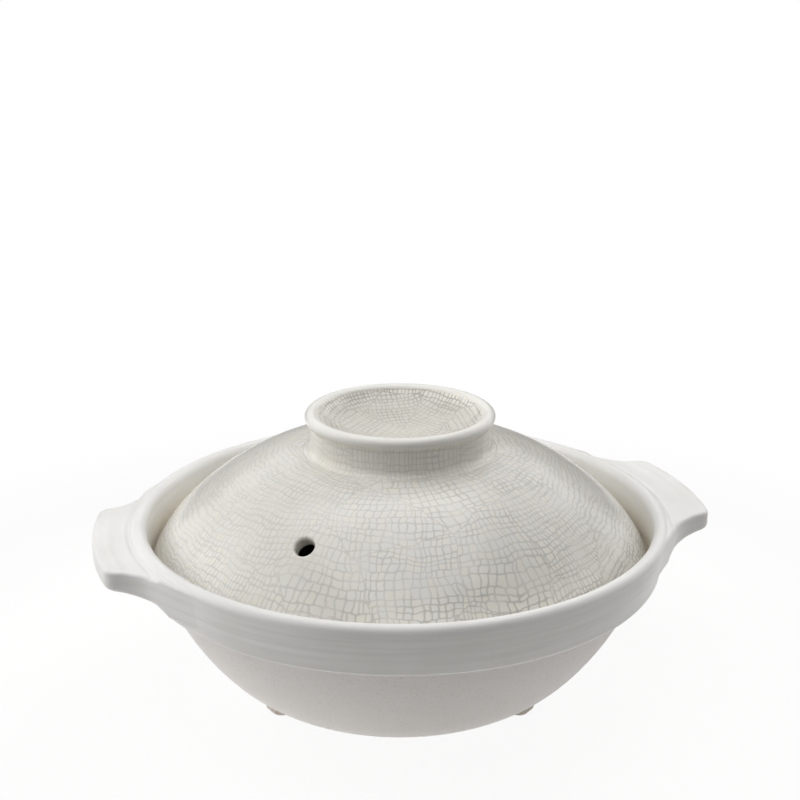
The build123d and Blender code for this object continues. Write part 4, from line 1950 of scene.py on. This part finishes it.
@dataclass
class Studio:
    """The floor, the lamps and the camera.

    Attributes:
        camera_place: Where the camera stands, in metres.
        camera_azimuth: The direction it looks in, in degrees from +Y towards +X.
        camera_pitch: How far it looks down, in degrees.
        camera_sight: The nearest and the farthest thing that it sees, in metres.
        focal_pixels: Its focal length in pixels of the picture.
        picture_width: The picture's width in pixels.
        sensor: The sensor's width in millimetres.
        floor_size: The floor's side, in metres.
        paper: The colour of the white paper on the floor.
        table: The colour of the grey table round it.
        shadow_share: How much of its shadow the white floor shows beside the pot.
        shadow_reach: Distances from the axis between which that share fades out, in metres.
        paper_reach: Distances between which the white paper gives way to the table.
        card_colour: The colour of the grey card.
        card: The grey card's distance behind the pot, its width and its height, in metres.
        table_light: How strongly the light table under the pot shines up on it.
        table_reach: Distances from the axis between which that light fades out, in metres.
        lamps: The lamps.
    """

    camera_place: Place = (-0.1412, -0.5662, 0.3229)
    camera_azimuth: float = 14.0
    camera_pitch: float = 17.47
    camera_sight: Pair = (0.01, 50.0)
    focal_pixels: float = 1300.0
    picture_width: float = 800.0
    sensor: float = 36.0
    floor_size: float = 12.0
    paper: str = "#f8f7f4"
    table: str = "#6e6e6e"
    shadow_share: float = 0.09
    shadow_reach: Pair = (0.16, 0.42)
    paper_reach: Pair = (0.19, 0.34)
    card_colour: str = "#4a4a49"
    card: Triple = (0.6, 1.1, 0.3)
    table_light: float = 0.34
    table_reach: Pair = (0.07, 0.13)
    lamps: tuple[Lamp, ...] = (
        Lamp("window lamp", (-1.2, 0.6, 0.9), 1.0, 13.7, mirrored=False),
        Lamp("low window lamp", (-1.5, 0.0, 0.35), 0.6, 4.3, mirrored=False),
        Lamp("right back lamp", (1.2, 0.8, 0.9), 1.0, 12.6, mirrored=False),
        Lamp("fill lamp", (1.3, -0.6, 0.7), 0.8, 3.0, mirrored=False),
        Lamp("front lamp", (-0.2, -1.1, 1.5), 1.0, 3.9),
        Lamp("ceiling lamp", (0.0, 0.1, 1.8), 1.8, 15.2),
    )

    def camera(self) -> None:
        """Sets the camera up as the photograph's stood."""
        data = bpy.data.cameras.new("camera")
        data.sensor_width = self.sensor
        data.lens = self.focal_pixels / self.picture_width * self.sensor
        data.clip_start, data.clip_end = self.camera_sight
        camera = bpy.data.objects.new("camera", data)
        azimuth, pitch = math.radians(self.camera_azimuth), math.radians(self.camera_pitch)
        level, down = math.cos(pitch), math.sin(pitch)
        ahead = Vector((math.sin(azimuth) * level, math.cos(azimuth) * level, -down))
        camera.location = self.camera_place
        camera.rotation_mode = "QUATERNION"
        camera.rotation_quaternion = ahead.to_track_quat("-Z", "Y")
        bpy.context.scene.collection.objects.link(camera)
        bpy.context.scene.camera = camera

    def seen_as_background(self, tree: Tree) -> Node:
        """Tells rays that show the background from those that light the object.

        Args:
            tree: The tree of the floor's or the world's nodes.

        Returns:
            One for rays that show it, else zero.
        """
        rays = add(tree, Kind.RAYS)
        seen = (out(rays, "Is Camera Ray"), out(rays, "Is Glossy Ray"))
        seen = add(tree, Kind.MATH, seen, operation="MAXIMUM")
        return add(tree, Kind.MATH, (seen, out(rays, "Is Transmission Ray")), operation="MAXIMUM")

    def sheet(self, name: str, corners: tuple[Place | Vector, ...]) -> tuple[bpy.types.Object, Tree]:
        """Puts up a flat sheet that isn't part of the pot.

        Args:
            name: Its name.
            corners: Its corners, in metres.

        Returns:
            The sheet and the tree of its material.
        """
        mesh = bpy.data.meshes.new(name)
        mesh.from_pydata(corners, [], [range(len(corners))])
        sheet = bpy.data.objects.new(name, mesh)
        bpy.context.scene.collection.objects.link(sheet)
        material, tree = new_material(name)
        mesh.materials.append(material)
        return sheet, tree

    def floor(self) -> None:
        """Lays the white paper, which keeps the pot's shadow."""
        half = self.floor_size / 2
        corners = ((-half, -half, 0), (half, -half, 0), (half, half, 0), (-half, half, 0))
        _, tree = self.sheet("white_paper_on_a_grey_table_matte", corners)
        place = out(add(tree, Kind.PLACE), "Object")
        away = out(add(tree, Kind.VECTOR, (place,), operation="LENGTH"), "Value")
        shown = (away, *self.shadow_reach, self.shadow_share, 0.0)
        table = (away, *self.paper_reach, 0.0, 1.0)
        up = (away, *self.table_reach, self.table_light, 0.0)
        shown, table, up = [
            add(tree, Kind.RANGE, bounds, interpolation_type="SMOOTHSTEP")
            for bounds in (shown, table, up)
        ]
        colour = (table, linear(self.paper), linear(self.table))
        paper = add(tree, Kind.PAPER, (add(tree, Kind.MIX, colour, data_type="RGBA"),))
        white = add(tree, Kind.MIX_SHADERS, (shown, add(tree, Kind.GLOW, (WHITE, 1.0)), paper))
        lit = add(tree, Kind.ADD_SHADERS, (paper, add(tree, Kind.GLOW, (WHITE, up))))
        surface = add(tree, Kind.MIX_SHADERS, (self.seen_as_background(tree), lit, white))
        add(tree, Kind.SURFACE, {"Surface": surface})

    def flag(self) -> None:
        """Stands a grey card behind the pot, which only the glaze's reflections show."""
        away, width, height = self.card
        azimuth = math.radians(self.camera_azimuth)
        middle = Vector((math.sin(azimuth), math.cos(azimuth), 0)) * away
        half = Vector((math.cos(azimuth), -math.sin(azimuth), 0)) * width / 2
        rise = Vector((0, 0, height))
        corners = (middle - half, middle + half, middle + half + rise, middle - half + rise)
        card, tree = self.sheet("grey_card_matte", corners)
        add(tree, Kind.SURFACE, {"Surface": add(tree, Kind.GLOW, (linear(self.card_colour), 1.0))})
        card.visible_camera = card.visible_diffuse = card.visible_shadow = False
        card.visible_transmission = False

    def world(self) -> None:
        """Sets the white background, which doesn't light the pot but shows in its gloss."""
        world = bpy.data.worlds.new("studio air")
        world.use_nodes = True
        tree = world.node_tree
        tree.nodes.clear()
        air = add(tree, Kind.AIR, (BLACK, 0.0))
        white = add(tree, Kind.AIR, (WHITE, 1.0))
        mixed = add(tree, Kind.MIX_SHADERS, (self.seen_as_background(tree), air, white))
        add(tree, Kind.WORLD, (mixed,))
        bpy.context.scene.world = world

    def build(self) -> None:
        """Sets up the camera, the floor and the light."""
        self.camera()
        self.floor()
        self.flag()
        self.world()
        for lamp in self.lamps:
            lamp.hang()
        bpy.context.scene.view_settings.view_transform = "Standard"


def main() -> None:
    """Builds the pot piece by piece and sets up the studio."""
    logging.basicConfig(level=logging.INFO, format="%(name)s: %(message)s")
    Studio().build()
    wheel = throwing_wheel()
    bowl = Bowl()
    bowl.build(wheel)
    lug_glaze = SatinWhiteGlaze(name="satin white stoneware glaze, poured").build()
    Lug("handle_left", Side.LEFT, bowl).build(lug_glaze)
    Lug("handle_right", Side.RIGHT, bowl).build(lug_glaze)
    Feet().build()
    Lid().build(wheel)
    Knob().build(wheel)
    log.info("sizes written")


if __name__ == "__main__":
    main()
